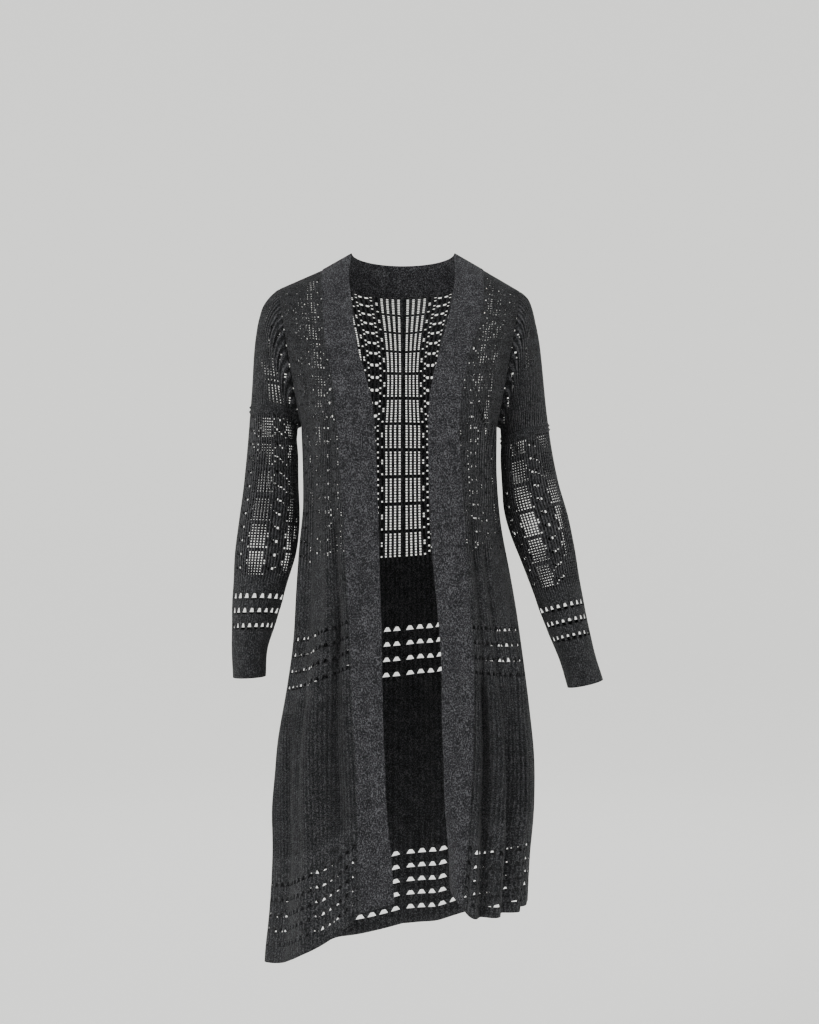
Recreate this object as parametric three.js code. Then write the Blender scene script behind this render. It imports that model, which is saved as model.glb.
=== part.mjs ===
// A long open-front knitted cardigan in the shape it takes when worn, in millimetres.
// X runs to the wearer's left, the front faces -Y and Z is up. The origin is at the base of the neck,
// between the shoulders. Each piece a knitter would make is one closed wall of cloth.
import * as THREE from "three";

// Cloth
const PANEL_WALL = 1.6; // lace knit of the back, the fronts and the sleeves
const BAND_WALL = 2.4; // firm double-bed knit of the front band
const SEAM_GAP = 0.3; // clear space between two pieces that are sewn together
const RIGHT = -1;
const LEFT = 1;

// How finely each piece is faceted
const LEVEL_STEPS = 2; // rows of facets for each level of the torso below the underarm
const FRONT_COLS = 12;
const BACK_COLS = 11; // on each side of the centre back
const NECK_COLS = 7; // of those, the ones that end on the neckline
const BAND_COLS = 3;
const SLEEVE_ROUND = 20;

// Torso levels, from the hem up. Levels 0 to 10 cross the side seams, 10 is the underarm, and the ones
// above it end on the armhole at the stated turn, where 180 is the underarm and 0 the shoulder point.
const UNDERARM = 10;
const SHOULDER = 18;
const YOKE_START = 13; // the back starts to rise to the neckline above this level
const TURNING = 16; // the cloth starts to turn over the shoulder
const ARMHOLE = table(["turn", "bend"], [
  [180, 90],
  [155, 85],
  [130, 75],
  [105, 65],
  [80, 58],
  [57, 52],
  [36, 47],
  [18, 43],
  [0, 40],
]);

// Side seams: where each one is at levels 0 to 10
const SIDE_Y = 3;
const SIDES = table(["rightX", "rightZ", "leftX", "leftZ"], [
  [-204, -1053, 187, -967],
  [-195.5, -973.5, 190.5, -896],
  [-192, -894, 196, -825],
  [-193, -814.5, 196, -754],
  [-188, -735, 189, -683.5],
  [-174.5, -655.5, 181, -612.5],
  [-161, -576, 171, -541.5],
  [-154.5, -496.5, 158.5, -471],
  [-150, -417, 146, -400],
  [-149, -337.5, 140, -329],
  [-152, -258, 140, -258],
]);

// Centre back
const BACK = table(["y", "z"], [
  [117, -1030],
  [114, -952],
  [112, -875],
  [110, -797],
  [108, -720],
  [104, -642],
  [97, -565],
  [90, -487],
  [88, -410],
  [94, -332],
  [103, -255],
  [104, -244],
  [105.5, -218],
  [106, -182],
  [104, -146],
  [99, -116],
  [92, -90],
  [85, -70],
  [78, -55],
]);

// Front edges: seam is where the front meets the band, edge is the band's free edge at the opening
const FRONT_COLUMNS = ["seamX", "seamY", "seamZ", "edgeX", "edgeY", "edgeZ"];
const FRONT_RIGHT = table(FRONT_COLUMNS, [
  [-61, -122, -960, -11.5, -125, -945],
  [-63, -119, -890, -16.5, -122, -880],
  [-65, -116, -820, -22.5, -119, -815],
  [-68, -113, -751, -25.5, -116, -748],
  [-71.5, -110, -681, -28, -113, -680],
  [-74.5, -108, -611, -29.5, -110, -611],
  [-77.5, -107, -541, -30.5, -109, -541],
  [-82, -108, -471, -33, -110, -471],
  [-86, -112, -402, -34.5, -114, -402],
  [-90.5, -117, -332, -37, -119, -332],
  [-94, -119, -262, -40, -121, -262],
  [-95.5, -118, -248, -41, -120, -248],
  [-98.5, -114, -222, -44, -115, -226],
  [-103, -104, -187, -53, -105, -191],
  [-111, -90, -152, -63.5, -92, -155],
  [-116, -69, -110, -71, -73, -116],
  [-119.5, -42, -70, -75, -46, -76],
  [-121, -17, -38, -80.5, -16, -28],
  [-121.5, 8, -22, -77, 12, 4],
]);
const FRONT_LEFT = table(FRONT_COLUMNS, [
  [85, -121, -951, 69.5, -80, -934],
  [91, -120, -881, 66, -94, -872],
  [97, -117, -811, 60.5, -108, -807],
  [101.5, -113, -739, 58, -114, -739],
  [103, -110, -671, 56, -112, -671],
  [102, -108, -603, 55.5, -110, -603],
  [98.5, -107, -535, 50.5, -109, -535],
  [93.5, -108, -467, 44, -110, -467],
  [89, -112, -399, 39.5, -114, -399],
  [84.5, -117, -330, 37, -119, -330],
  [82, -119, -262, 36, -121, -262],
  [82.5, -118, -248, 36.5, -120, -248],
  [84, -114, -222, 38, -115, -226],
  [89.5, -104, -187, 43.5, -105, -190],
  [98, -90, -150, 53, -91, -153],
  [112, -69, -112, 62.5, -73, -116],
  [119, -42, -70, 72, -46, -76],
  [120.5, -17, -38, 77.5, -16, -28],
  [121, 8, -22, 77, 12, 4],
]);
const NAPE_EDGE = { y: 62, z: -8 }; // the band's upper edge at the centre back
const BAND_BEND = 0.45; // share of its width that the band runs on in line with the panel

// The hem of each panel dips between its seams: by how much, and where across the panel it is lowest,
// as a share from the inner edge. The dip is gone by this level.
const HEM_DIPS = {
  front_right: { dip: 12, lowest: 0.3 },
  front_left: { dip: 14, lowest: 0.14 },
  back_right: { dip: 10, lowest: 0.5 },
  back_left: { dip: 12, lowest: 0.4 },
};
const HEM_DIP_LEVELS = 5;

// Sleeves: one ring of cloth for each row, through its outer and inner points, with its own depth.
// The first ring is the armhole.
const RING_COLUMNS = ["outX", "outZ", "inX", "inZ", "midY", "depth"];
const SLEEVE_RIGHT = table(RING_COLUMNS, [
  [-186, -51, -152, -258, 3, 54],
  [-199, -63, -157.5, -259.5, 3, 55],
  [-210, -78, -159, -263, 3, 55],
  [-216, -97, -159.5, -268, 3, 54.5],
  [-219.5, -120, -159.5, -275, 3, 54],
  [-223, -151, -159, -285, 4, 53],
  [-226, -190, -158.5, -300, 5, 52],
  [-229, -235, -158, -321, 6, 51],
  [-233, -290, -157, -348, 8, 49],
  [-239, -345, -156, -381, 9, 47],
  [-247, -400, -157.5, -416, 9, 45],
  [-252, -445, -162, -451, 7, 42],
  [-253.5, -489, -173, -489, 4, 40],
  [-256, -525, -183, -522, 0, 38],
  [-256, -561, -194, -556, -5, 36],
  [-255, -597, -203, -592, -10, 34],
  [-253, -632, -205, -630, -14, 33],
]);
const SLEEVE_LEFT = table(RING_COLUMNS, [
  [176, -55, 140, -258, 3, 54],
  [187, -66, 145.5, -259.5, 3, 55],
  [194, -82, 147, -263, 3, 55],
  [199, -103, 147.5, -268, 3, 54.5],
  [203, -127, 147.5, -275, 3, 54],
  [207, -157, 147.5, -285, 4, 53],
  [211.5, -195, 147.5, -300, 5, 52],
  [216, -240, 148, -321, 6, 51],
  [222.5, -290, 149, -348, 8, 49],
  [233, -340, 152, -381, 9, 47],
  [248, -390, 162, -417, 9, 45],
  [257, -437, 176, -454, 7, 42],
  [264, -485, 192, -497, 4, 40],
  [271, -521, 206, -533, 0, 38],
  [278, -557, 221, -570, -5, 36],
  [287, -600, 236, -612, -10, 34],
  [298, -635, 246, -647, -14, 33],
]);

// Folds: a soft trough (negative depth) or ridge that runs down a panel between two levels. across is
// where it crosses the panel at its top, 0 at the inner edge and 1 at the side; drift is how far it has
// moved at its foot, bow how far its middle swings out, and half its half width, all as shares too.
const FOLD_COLUMNS = ["top", "foot", "across", "drift", "bow", "half", "depth"];
const FOLDS = {
  front_right: table(FOLD_COLUMNS, [
    [7, 1.5, 0.06, 0.02, 0.12, 0.07, -7],
    [6.5, -1, 0.24, 0.1, 0.1, 0.1, 6],
    [10.5, 5, 0.55, 0.05, 0.02, 0.09, -5],
    [9, 3, 0.74, -0.04, 0.03, 0.08, 4],
    [5, -1, 0.62, 0.04, 0, 0.09, -6],
    [4, -1, 0.82, 0.02, 0, 0.07, 4],
  ]),
  front_left: table(FOLD_COLUMNS, [
    [12.5, 7, 0.26, 0.44, 0, 0.07, -8],
    [12.5, 7.5, 0.12, 0.42, 0, 0.08, 4],
    [11, 7, 0.66, 0.16, 0, 0.06, -6],
    [5.5, -1, 0.12, 0.1, -0.02, 0.06, -10],
    [5, -1, 0.02, 0.08, 0, 0.06, 6],
    [4.5, -1, 0.36, 0.06, 0, 0.05, -7],
    [5, -1, 0.26, 0.06, 0, 0.07, 7],
    [6, -1, 0.5, 0.04, 0.02, 0.06, 6],
    [5.5, -1, 0.66, 0.02, 0, 0.06, -5],
  ]),
  back_right: table(FOLD_COLUMNS, [
    [11, 3, 0.2, 0.02, 0.02, 0.08, -5],
    [6, -1, 0.42, 0.05, 0, 0.07, -9],
    [5, -1, 0.28, 0.06, 0, 0.07, 7],
    [12, 6, 0.72, -0.06, 0, 0.07, -6],
    [5, -1, 0.72, 0.02, 0.02, 0.07, 7],
  ]),
  back_left: table(FOLD_COLUMNS, [
    [12, 5, 0.5, -0.08, 0, 0.08, -6],
    [7, -1, 0.16, 0.02, 0.03, 0.07, -8],
    [5.5, -1, 0.36, 0.05, 0, 0.08, 8],
    [6, -1, 0.56, 0.04, 0, 0.06, -7],
    [11, 6, 0.8, -0.06, 0, 0.06, 4],
  ]),
};
const FOLD_END = 1.4; // levels over which a fold dies out at its top or its foot
const FOLD_EDGE = 0.08; // share of the width over which it dies out beside a seam

// Sleeve folds: rings from and to, the turn round the arm, half width in degrees, depth
const SLEEVE_FOLD_COLUMNS = ["from", "to", "turn", "drift", "half", "depth"];
const SLEEVE_FOLDS = table(SLEEVE_FOLD_COLUMNS, [
  [5, 10, 150, -30, 16, -3],
  [9, 13, 205, 40, 14, -3.5],
  [10, 14, 130, 45, 13, -3],
  [11, 15, 230, -40, 14, -2.5],
  [7, 12, 290, 20, 18, -2.5],
]);
const SLEEVE_FOLD_END = 1.2;

// Shares of the wall by which the sleeve's first ring stands off the armhole: at the shoulder point, and
// the rest of it at the underarm, where the walls of body and sleeve lie side by side.
const CAP_ROOM = 0.1;
const UNDERARM_ROOM = 0.9;

const MATERIALS = {
  lace: new THREE.MeshStandardMaterial({ color: 0x34363a, roughness: 0.95, metalness: 0 }),
  band: new THREE.MeshStandardMaterial({ color: 0x3c3d40, roughness: 0.95, metalness: 0 }),
};

// ---- Tables, curves and small vector helpers -------------------------------------------------------

function table(columns, rows) {
  return rows.map((row) => Object.fromEntries(columns.map((name, i) => [name, row[i]])));
}

const V = (x, y, z) => new THREE.Vector3(x, y, z);
const lerp = THREE.MathUtils.lerp;
const rad = THREE.MathUtils.degToRad;
const smooth = (x) => THREE.MathUtils.smoothstep(x, 0, 1);
const mid = (a, b) => a.clone().add(b).multiplyScalar(0.5);

// Smooth curve through a list of points, read at a fractional index. The tangent at each point allows
// for the unequal distances to its neighbours.
function through(points, index) {
  const last = points.length - 1;
  const i = Math.min(Math.floor(index), last - 1);
  const t = index - i;
  const chord = (k) => points[k + 1].distanceTo(points[k]);
  const slope = (k) => points[k + 1].clone().sub(points[k]).divideScalar(chord(k));
  const tangent = (k) => {
    if (k === 0) return slope(0);
    if (k === last) return slope(last - 1);
    const before = chord(k - 1);
    const after = chord(k);
    return slope(k - 1).multiplyScalar(after).addScaledVector(slope(k), before)
      .divideScalar(before + after);
  };
  const h = chord(i);
  const t2 = t * t;
  const t3 = t2 * t;
  return V(0, 0, 0)
    .addScaledVector(points[i], 2 * t3 - 3 * t2 + 1)
    .addScaledVector(tangent(i), (t3 - 2 * t2 + t) * h)
    .addScaledVector(points[i + 1], 3 * t2 - 2 * t3)
    .addScaledVector(tangent(i + 1), (t3 - t2) * h);
}

// An arc from inner to outer that leaves inner straight across the body and has turned by bend degrees
// when it reaches outer: a quarter ellipse for a bend of 90.
function arc(inner, outer, bend, u) {
  const a = rad(bend);
  const s = Math.sin(a * u) / Math.sin(a);
  const c = (Math.cos(a * u) - Math.cos(a)) / (1 - Math.cos(a));
  return V(lerp(inner.x, outer.x, s), outer.y + (inner.y - outer.y) * c, lerp(inner.z, outer.z, s));
}

// ---- Solids from grids of points -------------------------------------------------------------------

// Unit normals of a grid of points, by differences between neighbours.
function normalsOf(grid, wraps) {
  const rows = grid.length;
  const cols = grid[0].length;
  const at = (i, j) => (wraps ? grid[i][(j + cols) % cols]
    : grid[i][THREE.MathUtils.clamp(j, 0, cols - 1)]);
  return grid.map((row, i) => row.map((_, j) => {
    const along = at(i, j + 1).clone().sub(at(i, j - 1));
    const up = grid[Math.min(i + 1, rows - 1)][j].clone().sub(grid[Math.max(i - 1, 0)][j]);
    return along.cross(up).normalize();
  }));
}

// A wall of even thickness on both sides of a grid of points, closed round its rim.
function wall(name, material, grid, thick, wraps, normals) {
  const rows = grid.length;
  const cols = grid[0].length;
  const directions = normals ?? normalsOf(grid, wraps);
  const points = [];
  for (const side of [0.5, -0.5]) {
    grid.forEach((row, i) => row.forEach((p, j) => {
      points.push(p.clone().addScaledVector(directions[i][j], side * thick));
    }));
  }
  const face = (side, i, j) => side * rows * cols + i * cols + (j % cols);
  const faces = [];
  const quad = (a, b, c, d) => faces.push(a, b, c, a, c, d);
  const lastCol = wraps ? cols : cols - 1;
  for (let i = 0; i < rows - 1; i += 1) {
    for (let j = 0; j < lastCol; j += 1) {
      quad(face(0, i, j), face(0, i, j + 1), face(0, i + 1, j + 1), face(0, i + 1, j));
      quad(face(1, i, j), face(1, i + 1, j), face(1, i + 1, j + 1), face(1, i, j + 1));
    }
  }
  for (let j = 0; j < lastCol; j += 1) {
    quad(face(1, 0, j), face(1, 0, j + 1), face(0, 0, j + 1), face(0, 0, j));
    const top = rows - 1;
    quad(face(0, top, j), face(0, top, j + 1), face(1, top, j + 1), face(1, top, j));
  }
  if (!wraps) {
    for (let i = 0; i < rows - 1; i += 1) {
      quad(face(0, i, 0), face(0, i + 1, 0), face(1, i + 1, 0), face(1, i, 0));
      const end = cols - 1;
      quad(face(1, i, end), face(1, i + 1, end), face(0, i + 1, end), face(0, i, end));
    }
  }
  const geometry = new THREE.BufferGeometry();
  geometry.setAttribute("position", new THREE.Float32BufferAttribute(
    points.flatMap((p) => [p.x, p.y, p.z]), 3));
  geometry.setIndex(faces);
  geometry.computeVertexNormals();
  const mesh = new THREE.Mesh(geometry, material);
  mesh.name = name;
  return mesh;
}

// Moves each point of a grid out along its normal by a height read from its row and column.
function relief(grid, wraps, height) {
  const normals = normalsOf(grid, wraps);
  return grid.map((row, i) => row.map((p, j) => p.clone().addScaledVector(normals[i][j], height(i, j))));
}

// ---- Torso -----------------------------------------------------------------------------------------

// The levels at which rows of facets lie, from the hem to the shoulder: close together where the cloth
// turns over the shoulder.
const ROWS = [];
for (let k = 0; k < UNDERARM * LEVEL_STEPS; k += 1) ROWS.push(k / LEVEL_STEPS);
for (let k = UNDERARM; k < TURNING; k += 1) ROWS.push(k);
for (let k = 0; k <= (SHOULDER - TURNING) * LEVEL_STEPS; k += 1) ROWS.push(TURNING + k / LEVEL_STEPS);

const armholeOf = { [RIGHT]: SLEEVE_RIGHT[0], [LEFT]: SLEEVE_LEFT[0] };

// A point on a ring of a sleeve: turn 0 is its outer point, 90 its front and 180 its inner point.
function ringPoint(ring, turn) {
  const outer = V(ring.outX, ring.midY, ring.outZ);
  const inner = V(ring.inX, ring.midY, ring.inZ);
  const centre = mid(outer, inner);
  return centre.clone()
    .addScaledVector(outer.clone().sub(centre), Math.cos(rad(turn)))
    .add(V(0, -ring.depth * Math.sin(rad(turn)), 0));
}

// Outer edges of the torso pieces at each level: the side seam, then the armhole. face is 1 for the
// front half of the armhole and -1 for the back half.
function outerPoints(side, face) {
  const seam = SIDES.slice(0, UNDERARM).map((row) => (side === RIGHT
    ? V(row.rightX, SIDE_Y, row.rightZ) : V(row.leftX, SIDE_Y, row.leftZ)));
  const hole = ARMHOLE.map((row) => ringPoint(armholeOf[side], row.turn * face));
  return [...seam, ...hole];
}

// The bend of the torso's arcs at a level.
const bendAt = (level) => {
  const k = Math.max(level - UNDERARM, 0);
  const below = Math.floor(k);
  return lerp(ARMHOLE[below].bend, ARMHOLE[Math.min(below + 1, ARMHOLE.length - 1)].bend, k - below);
};

// The outer end of a level: the smooth curves of side seam and armhole meet in a corner at the underarm.
const outerAt = (outers, level) => (level > UNDERARM
  ? through(outers.slice(UNDERARM), level - UNDERARM)
  : through(outers.slice(0, UNDERARM + 1), level));

// The share of an arc that half a seam gap takes up at one of its ends.
function halfGap(inner, outer, bend, end) {
  const step = 0.001;
  const length = arc(inner, outer, bend, end).distanceTo(arc(inner, outer, bend, Math.abs(end - step)));
  return (SEAM_GAP / 2) * (step / length);
}

// How far a share of the panel is moved out by the folds that cross it.
function foldHeight(folds, level, u, openCentre) {
  const edge = smooth((1 - u) / FOLD_EDGE) * (openCentre ? 1 : smooth(u / FOLD_EDGE));
  return edge * folds.reduce((sum, fold) => {
    const t = THREE.MathUtils.clamp((fold.top - level) / (fold.top - fold.foot), 0, 1);
    const ends = smooth((fold.top - level) / FOLD_END) * smooth((level - fold.foot) / FOLD_END);
    const centre = fold.across + fold.drift * t + fold.bow * Math.sin(Math.PI * t);
    return sum + fold.depth * ends * Math.exp(-(((u - centre) / fold.half) ** 2));
  }, 0);
}

// Extra drop of a panel between its seams, towards the hem.
function hemDrop({ dip, lowest }, level, u) {
  const bump = (u / lowest) * Math.exp(1 - u / lowest) * (1 - u ** 4);
  return dip * smooth(1 - level / HEM_DIP_LEVELS) * bump;
}

function frontGrid(side, rows, folds, hem) {
  const seams = rows.map((row) => V(row.seamX, row.seamY, row.seamZ));
  const outers = outerPoints(side, 1);
  const grid = ROWS.map((level) => {
    const inner = through(seams, level);
    const outer = outerAt(outers, level);
    const bend = bendAt(level);
    const start = halfGap(inner, outer, bend, 0);
    const end = 1 - halfGap(inner, outer, bend, 1);
    return Array.from({ length: FRONT_COLS + 1 }, (_, j) => {
      const u = j / FRONT_COLS;
      const p = arc(inner, outer, bend, lerp(start, end, u));
      p.z -= hemDrop(hem, level, u);
      return p;
    });
  });
  grid[grid.length - 1].forEach((p, j) => p.copy(shoulderSeam(side, j / FRONT_COLS, -1)));
  return relief(grid, false, (i, j) => (
    -side * foldHeight(folds, ROWS[i], j / FRONT_COLS, false) * (ROWS[i] < SHOULDER ? 1 : 0)));
}

// A point on the shoulder seam, from the neck (0) to the armhole (1), on the front's side of it (-1) or
// the back's (1).
function shoulderSeam(side, t, face) {
  const start = neckPoint(side).seam;
  const end = ringPoint(armholeOf[side], 0);
  const away = end.clone().sub(start).normalize().multiplyScalar(SEAM_GAP / 2);
  return start.lerp(end, t).addScaledVector(away, 1 - 2 * t).add(V(0, (face * SEAM_GAP) / 2, 0));
}

// The back neckline and the band's upper edge behind the neck, from the centre (0) to the shoulder (1).
const neckPoint = (side) => {
  const row = (side === RIGHT ? FRONT_RIGHT : FRONT_LEFT)[SHOULDER];
  return { seam: V(row.seamX, row.seamY, row.seamZ), edge: V(row.edgeX, row.edgeY, row.edgeZ) };
};
function neckCurve(centre, end, t) {
  const p = arc(centre, end, 90, t);
  return p.setZ(lerp(end.z, centre.z, Math.cos(rad(90 * t)))); // level at the centre back
}
const neckSeam = (side, t) => neckCurve(V(0, BACK[SHOULDER].y, BACK[SHOULDER].z), neckPoint(side).seam, t);
const neckEdge = (side, t) => neckCurve(V(0, NAPE_EDGE.y, NAPE_EDGE.z), neckPoint(side).edge, t);

// One half of the back, from the centre out to the side seam and the armhole.
function backHalf(side, folds, hem) {
  const centres = BACK.map((row) => V(0, row.y, row.z));
  const outers = outerPoints(side, -1);
  const grid = ROWS.map((level) => {
    const inner = through(centres, level);
    const outer = outerAt(outers, level);
    const bend = bendAt(level);
    const end = 1 - halfGap(inner, outer, bend, 1);
    return Array.from({ length: BACK_COLS + 1 }, (_, j) => {
      const u = j / BACK_COLS;
      const p = arc(inner, outer, bend, end * u);
      p.z -= hemDrop(hem, level, u);
      return p;
    });
  });
  // The top row follows the neckline and then the shoulder seam, and the rows under it rise to meet it.
  const rise = grid[grid.length - 1].map((p, j) => {
    if (j >= NECK_COLS) {
      return shoulderSeam(side, (j - NECK_COLS) / (BACK_COLS - NECK_COLS), 1).sub(p);
    }
    const seam = neckSeam(side, j / NECK_COLS);
    const toBand = neckEdge(side, j / NECK_COLS).sub(seam).normalize();
    return seam.addScaledVector(toBand, -SEAM_GAP / 2).sub(p);
  });
  const raised = grid.map((row, i) => {
    const share = smooth((ROWS[i] - YOKE_START) / (SHOULDER - YOKE_START));
    return row.map((p, j) => p.clone().addScaledVector(rise[j], share));
  });
  return relief(raised, false, (i, j) => (
    side * foldHeight(folds, ROWS[i], j / BACK_COLS, true) * (ROWS[i] < SHOULDER ? 1 : 0)));
}

function backGrid() {
  const right = backHalf(RIGHT, FOLDS.back_right, HEM_DIPS.back_right);
  const left = backHalf(LEFT, FOLDS.back_left, HEM_DIPS.back_left);
  return right.map((row, i) => [...row.slice(1).reverse(), mid(row[0], left[i][0]), ...left[i].slice(1)]);
}

// Turns a normal to a stated direction, keeping the side it points to.
function turnTo(normal, direction) {
  const sign = Math.sign(normal.dot(direction));
  return normal.copy(direction).multiplyScalar(sign);
}

// Normals of a panel whose cut edges lie square against its neighbours: across the body's sides along
// the shoulder and side seams, and along the band the same as the band's own. alongBand gives the band's
// normal at a row and column, or nothing away from the band.
function squared(grid, alongBand) {
  const normals = normalsOf(grid, false);
  const last = grid[0].length - 1;
  normals.forEach((row, i) => row.forEach((n, j) => {
    const direction = alongBand(i, j);
    const onSide = (j === 0 || j === last) && ROWS[i] <= UNDERARM;
    if (direction) turnTo(n, direction);
    else if (onSide || ROWS[i] === SHOULDER) n.setY(0).normalize();
  }));
  return normals;
}

// ---- Band ------------------------------------------------------------------------------------------

// Pairs of points along the whole band: up the right front, round the neck and down the left front.
function bandRun() {
  const front = (rows) => {
    const seams = rows.map((row) => V(row.seamX, row.seamY, row.seamZ));
    const edges = rows.map((row) => V(row.edgeX, row.edgeY, row.edgeZ));
    return ROWS.map((level) => ({ seam: through(seams, level), edge: through(edges, level), level }));
  };
  const neck = [];
  for (let k = -NECK_COLS + 1; k < NECK_COLS; k += 1) {
    const side = k < 0 ? RIGHT : LEFT;
    const t = Math.abs(k) / NECK_COLS;
    neck.push({ seam: neckSeam(side, t), edge: neckEdge(side, t), level: null });
  }
  return [...front(FRONT_RIGHT), ...neck, ...front(FRONT_LEFT).reverse()];
}

// Each pair with the direction in which the cloth leaves the seam, in line with the panel, and the
// normal that the band and the panel share there.
const BAND = bandRun().map(({ seam, edge, level }, i, run) => {
  const leaving = edge.clone().sub(seam);
  if (level !== null) leaving.setY(0);
  leaving.normalize();
  const next = run[Math.min(i + 1, run.length - 1)].seam;
  const before = run[Math.max(i - 1, 0)].seam;
  const onward = level === SHOULDER ? V(0, 1, 0) : next.clone().sub(before);
  const normal = onward.cross(leaving).normalize();
  return { seam, edge, leaving, normal };
});

// Across the band the cloth bends from the seam to the free edge.
function bandGrid() {
  return BAND.map(({ seam, edge, leaving }) => {
    const width = edge.distanceTo(seam);
    const start = seam.clone().addScaledVector(leaving, SEAM_GAP / 2);
    const control = seam.clone().addScaledVector(leaving, width * BAND_BEND);
    return Array.from({ length: BAND_COLS + 1 }, (_, j) => {
      const t = j / BAND_COLS;
      return V(0, 0, 0)
        .addScaledVector(start, (1 - t) ** 2)
        .addScaledVector(control, 2 * t * (1 - t))
        .addScaledVector(edge, t * t);
    });
  });
}

// ---- Sleeves ---------------------------------------------------------------------------------------

// The first ring stands off the armhole by the seam gap, and further at the underarm, where the body
// and the sleeve lie side by side and both walls take room.
function sleeveGrid(side, rings) {
  const hole = rings[0];
  const slope = V(hole.outX - hole.inX, 0, hole.outZ - hole.inZ).normalize();
  const away = V(side * slope.z, 0, -side * slope.x);
  const turns = Array.from({ length: SLEEVE_ROUND }, (_, k) => (k * 360) / SLEEVE_ROUND);
  const grid = rings.map((ring, i) => turns.map((turn) => {
    const p = ringPoint(ring, turn);
    if (i > 0) return p;
    const low = (1 - Math.cos(rad(turn))) / 2;
    return p.addScaledVector(away, SEAM_GAP + PANEL_WALL * (CAP_ROOM + UNDERARM_ROOM * low));
  }));
  return relief(grid, true, (i, j) => -side * SLEEVE_FOLDS.reduce((sum, fold) => {
    const t = THREE.MathUtils.clamp((i - fold.from) / (fold.to - fold.from), 0, 1);
    const ends = smooth((i - fold.from) / SLEEVE_FOLD_END) * smooth((fold.to - i) / SLEEVE_FOLD_END);
    const apart = Math.abs(((turns[j] - fold.turn - fold.drift * t + 540) % 360) - 180);
    return sum + fold.depth * ends * Math.exp(-((apart / fold.half) ** 2));
  }, 0));
}

// ---- The garment -----------------------------------------------------------------------------------

// Grids whose columns run the other way round are reversed, so that every wall faces outward.
const reversed = (grid) => grid.map((row) => [...row].reverse());

const frontRight = reversed(frontGrid(RIGHT, FRONT_RIGHT, FOLDS.front_right, HEM_DIPS.front_right));
const frontLeft = frontGrid(LEFT, FRONT_LEFT, FOLDS.front_left, HEM_DIPS.front_left);
const back = reversed(backGrid());
const bandRows = reversed(bandGrid());
const sleeveRight = sleeveGrid(RIGHT, SLEEVE_RIGHT);
const sleeveLeft = reversed(sleeveGrid(LEFT, SLEEVE_LEFT));

const TOP = ROWS.length - 1;
const nape = TOP + NECK_COLS; // place of the centre back along the band
const bandNormals = bandRows.map((row, i) => normalsOf(bandRows, false)[i].map((n, j) => (
  j === BAND_COLS ? turnTo(n, BAND[i].normal) : n)));
const besideRight = (i, j) => (j === FRONT_COLS ? BAND[i].normal : null);
const besideLeft = (i, j) => (j === 0 ? BAND[BAND.length - 1 - i].normal : null);
const underNape = (i, j) => (i === TOP && Math.abs(j - BACK_COLS) <= NECK_COLS
  ? BAND[nape - (j - BACK_COLS)].normal : null);

const cardigan = new THREE.Group();
cardigan.name = "cardigan";
cardigan.add(
  wall("back", MATERIALS.lace, back, PANEL_WALL, false, squared(back, underNape)),
  wall("front_right", MATERIALS.lace, frontRight, PANEL_WALL, false, squared(frontRight, besideRight)),
  wall("front_left", MATERIALS.lace, frontLeft, PANEL_WALL, false, squared(frontLeft, besideLeft)),
  wall("sleeve_right", MATERIALS.lace, sleeveRight, PANEL_WALL, true),
  wall("sleeve_left", MATERIALS.lace, sleeveLeft, PANEL_WALL, true),
  wall("band", MATERIALS.band, bandRows, BAND_WALL, false, bandNormals),
);

export default cardigan;
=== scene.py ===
# %% [markdown]
# # A long open-front cardigan in pointelle knit
# The garment is six knitted pieces: a back, two fronts, two sleeves and one band that runs up one front,
# round the neck and down the other. It hangs in the shape it takes when it is worn, with nobody inside.
# Every piece here is a surface worked out on a grid with numpy, given the thickness of the knit, and the
# lace is real openings in that surface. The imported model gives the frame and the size.

import bmesh
import bpy
import numpy as np
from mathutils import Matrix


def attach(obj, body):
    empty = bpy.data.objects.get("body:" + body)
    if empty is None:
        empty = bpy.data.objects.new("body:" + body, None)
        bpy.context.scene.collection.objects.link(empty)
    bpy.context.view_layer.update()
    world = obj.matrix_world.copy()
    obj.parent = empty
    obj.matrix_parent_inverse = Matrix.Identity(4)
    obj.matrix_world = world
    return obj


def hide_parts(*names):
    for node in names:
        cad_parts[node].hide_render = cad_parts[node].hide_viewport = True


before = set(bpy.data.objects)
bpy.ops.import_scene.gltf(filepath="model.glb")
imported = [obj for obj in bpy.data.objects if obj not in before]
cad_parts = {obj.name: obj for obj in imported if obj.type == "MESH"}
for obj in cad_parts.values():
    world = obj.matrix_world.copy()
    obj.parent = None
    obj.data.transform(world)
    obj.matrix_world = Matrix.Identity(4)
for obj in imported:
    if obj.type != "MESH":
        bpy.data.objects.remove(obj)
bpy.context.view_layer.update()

# %% [markdown]
# ## Camera
# The view is level and square to the front, at the height of the lower ribs, with the whole garment in it
# and room above for a wearer's head. A long lens keeps the sleeves' outline straight. The place is in
# metres, because that is what the frame uses.

# %% Camera
CAMERA_AT = (0.00975, -2.6, -0.3855)
LENS_MM = 60.94
SENSOR_MM = 36.0

camera = bpy.data.objects.new("camera", bpy.data.cameras.new("camera"))
camera.data.lens = LENS_MM
camera.data.sensor_width = SENSOR_MM
camera.location = CAMERA_AT
camera.rotation_euler = (np.pi / 2, 0, 0)
bpy.context.collection.objects.link(camera)
bpy.context.scene.camera = camera
print("height of the view at the garment, m:", round(-CAMERA_AT[1] * SENSOR_MM / LENS_MM, 3))

# %% [markdown]
# ## The garment's measures
# The tables say where the cloth is, in millimetres, level by level from the hem to the shoulder. Level 10
# is the underarm, and above it each level ends on the armhole at a stated turn, where 180 is the underarm
# and 0 the shoulder point. They are few, so the smooth curves through them do the work.

# %% Levels and the armhole
MM = 0.001
RIGHT, LEFT = -1, 1
UNDERARM, SHOULDER = 10, 18
YOKE_START = 13
SIDE_Y = 3.0
NAPE_EDGE = (0.0, 62.0, -8.0)
SEAM_GAP = 0.3


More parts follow.
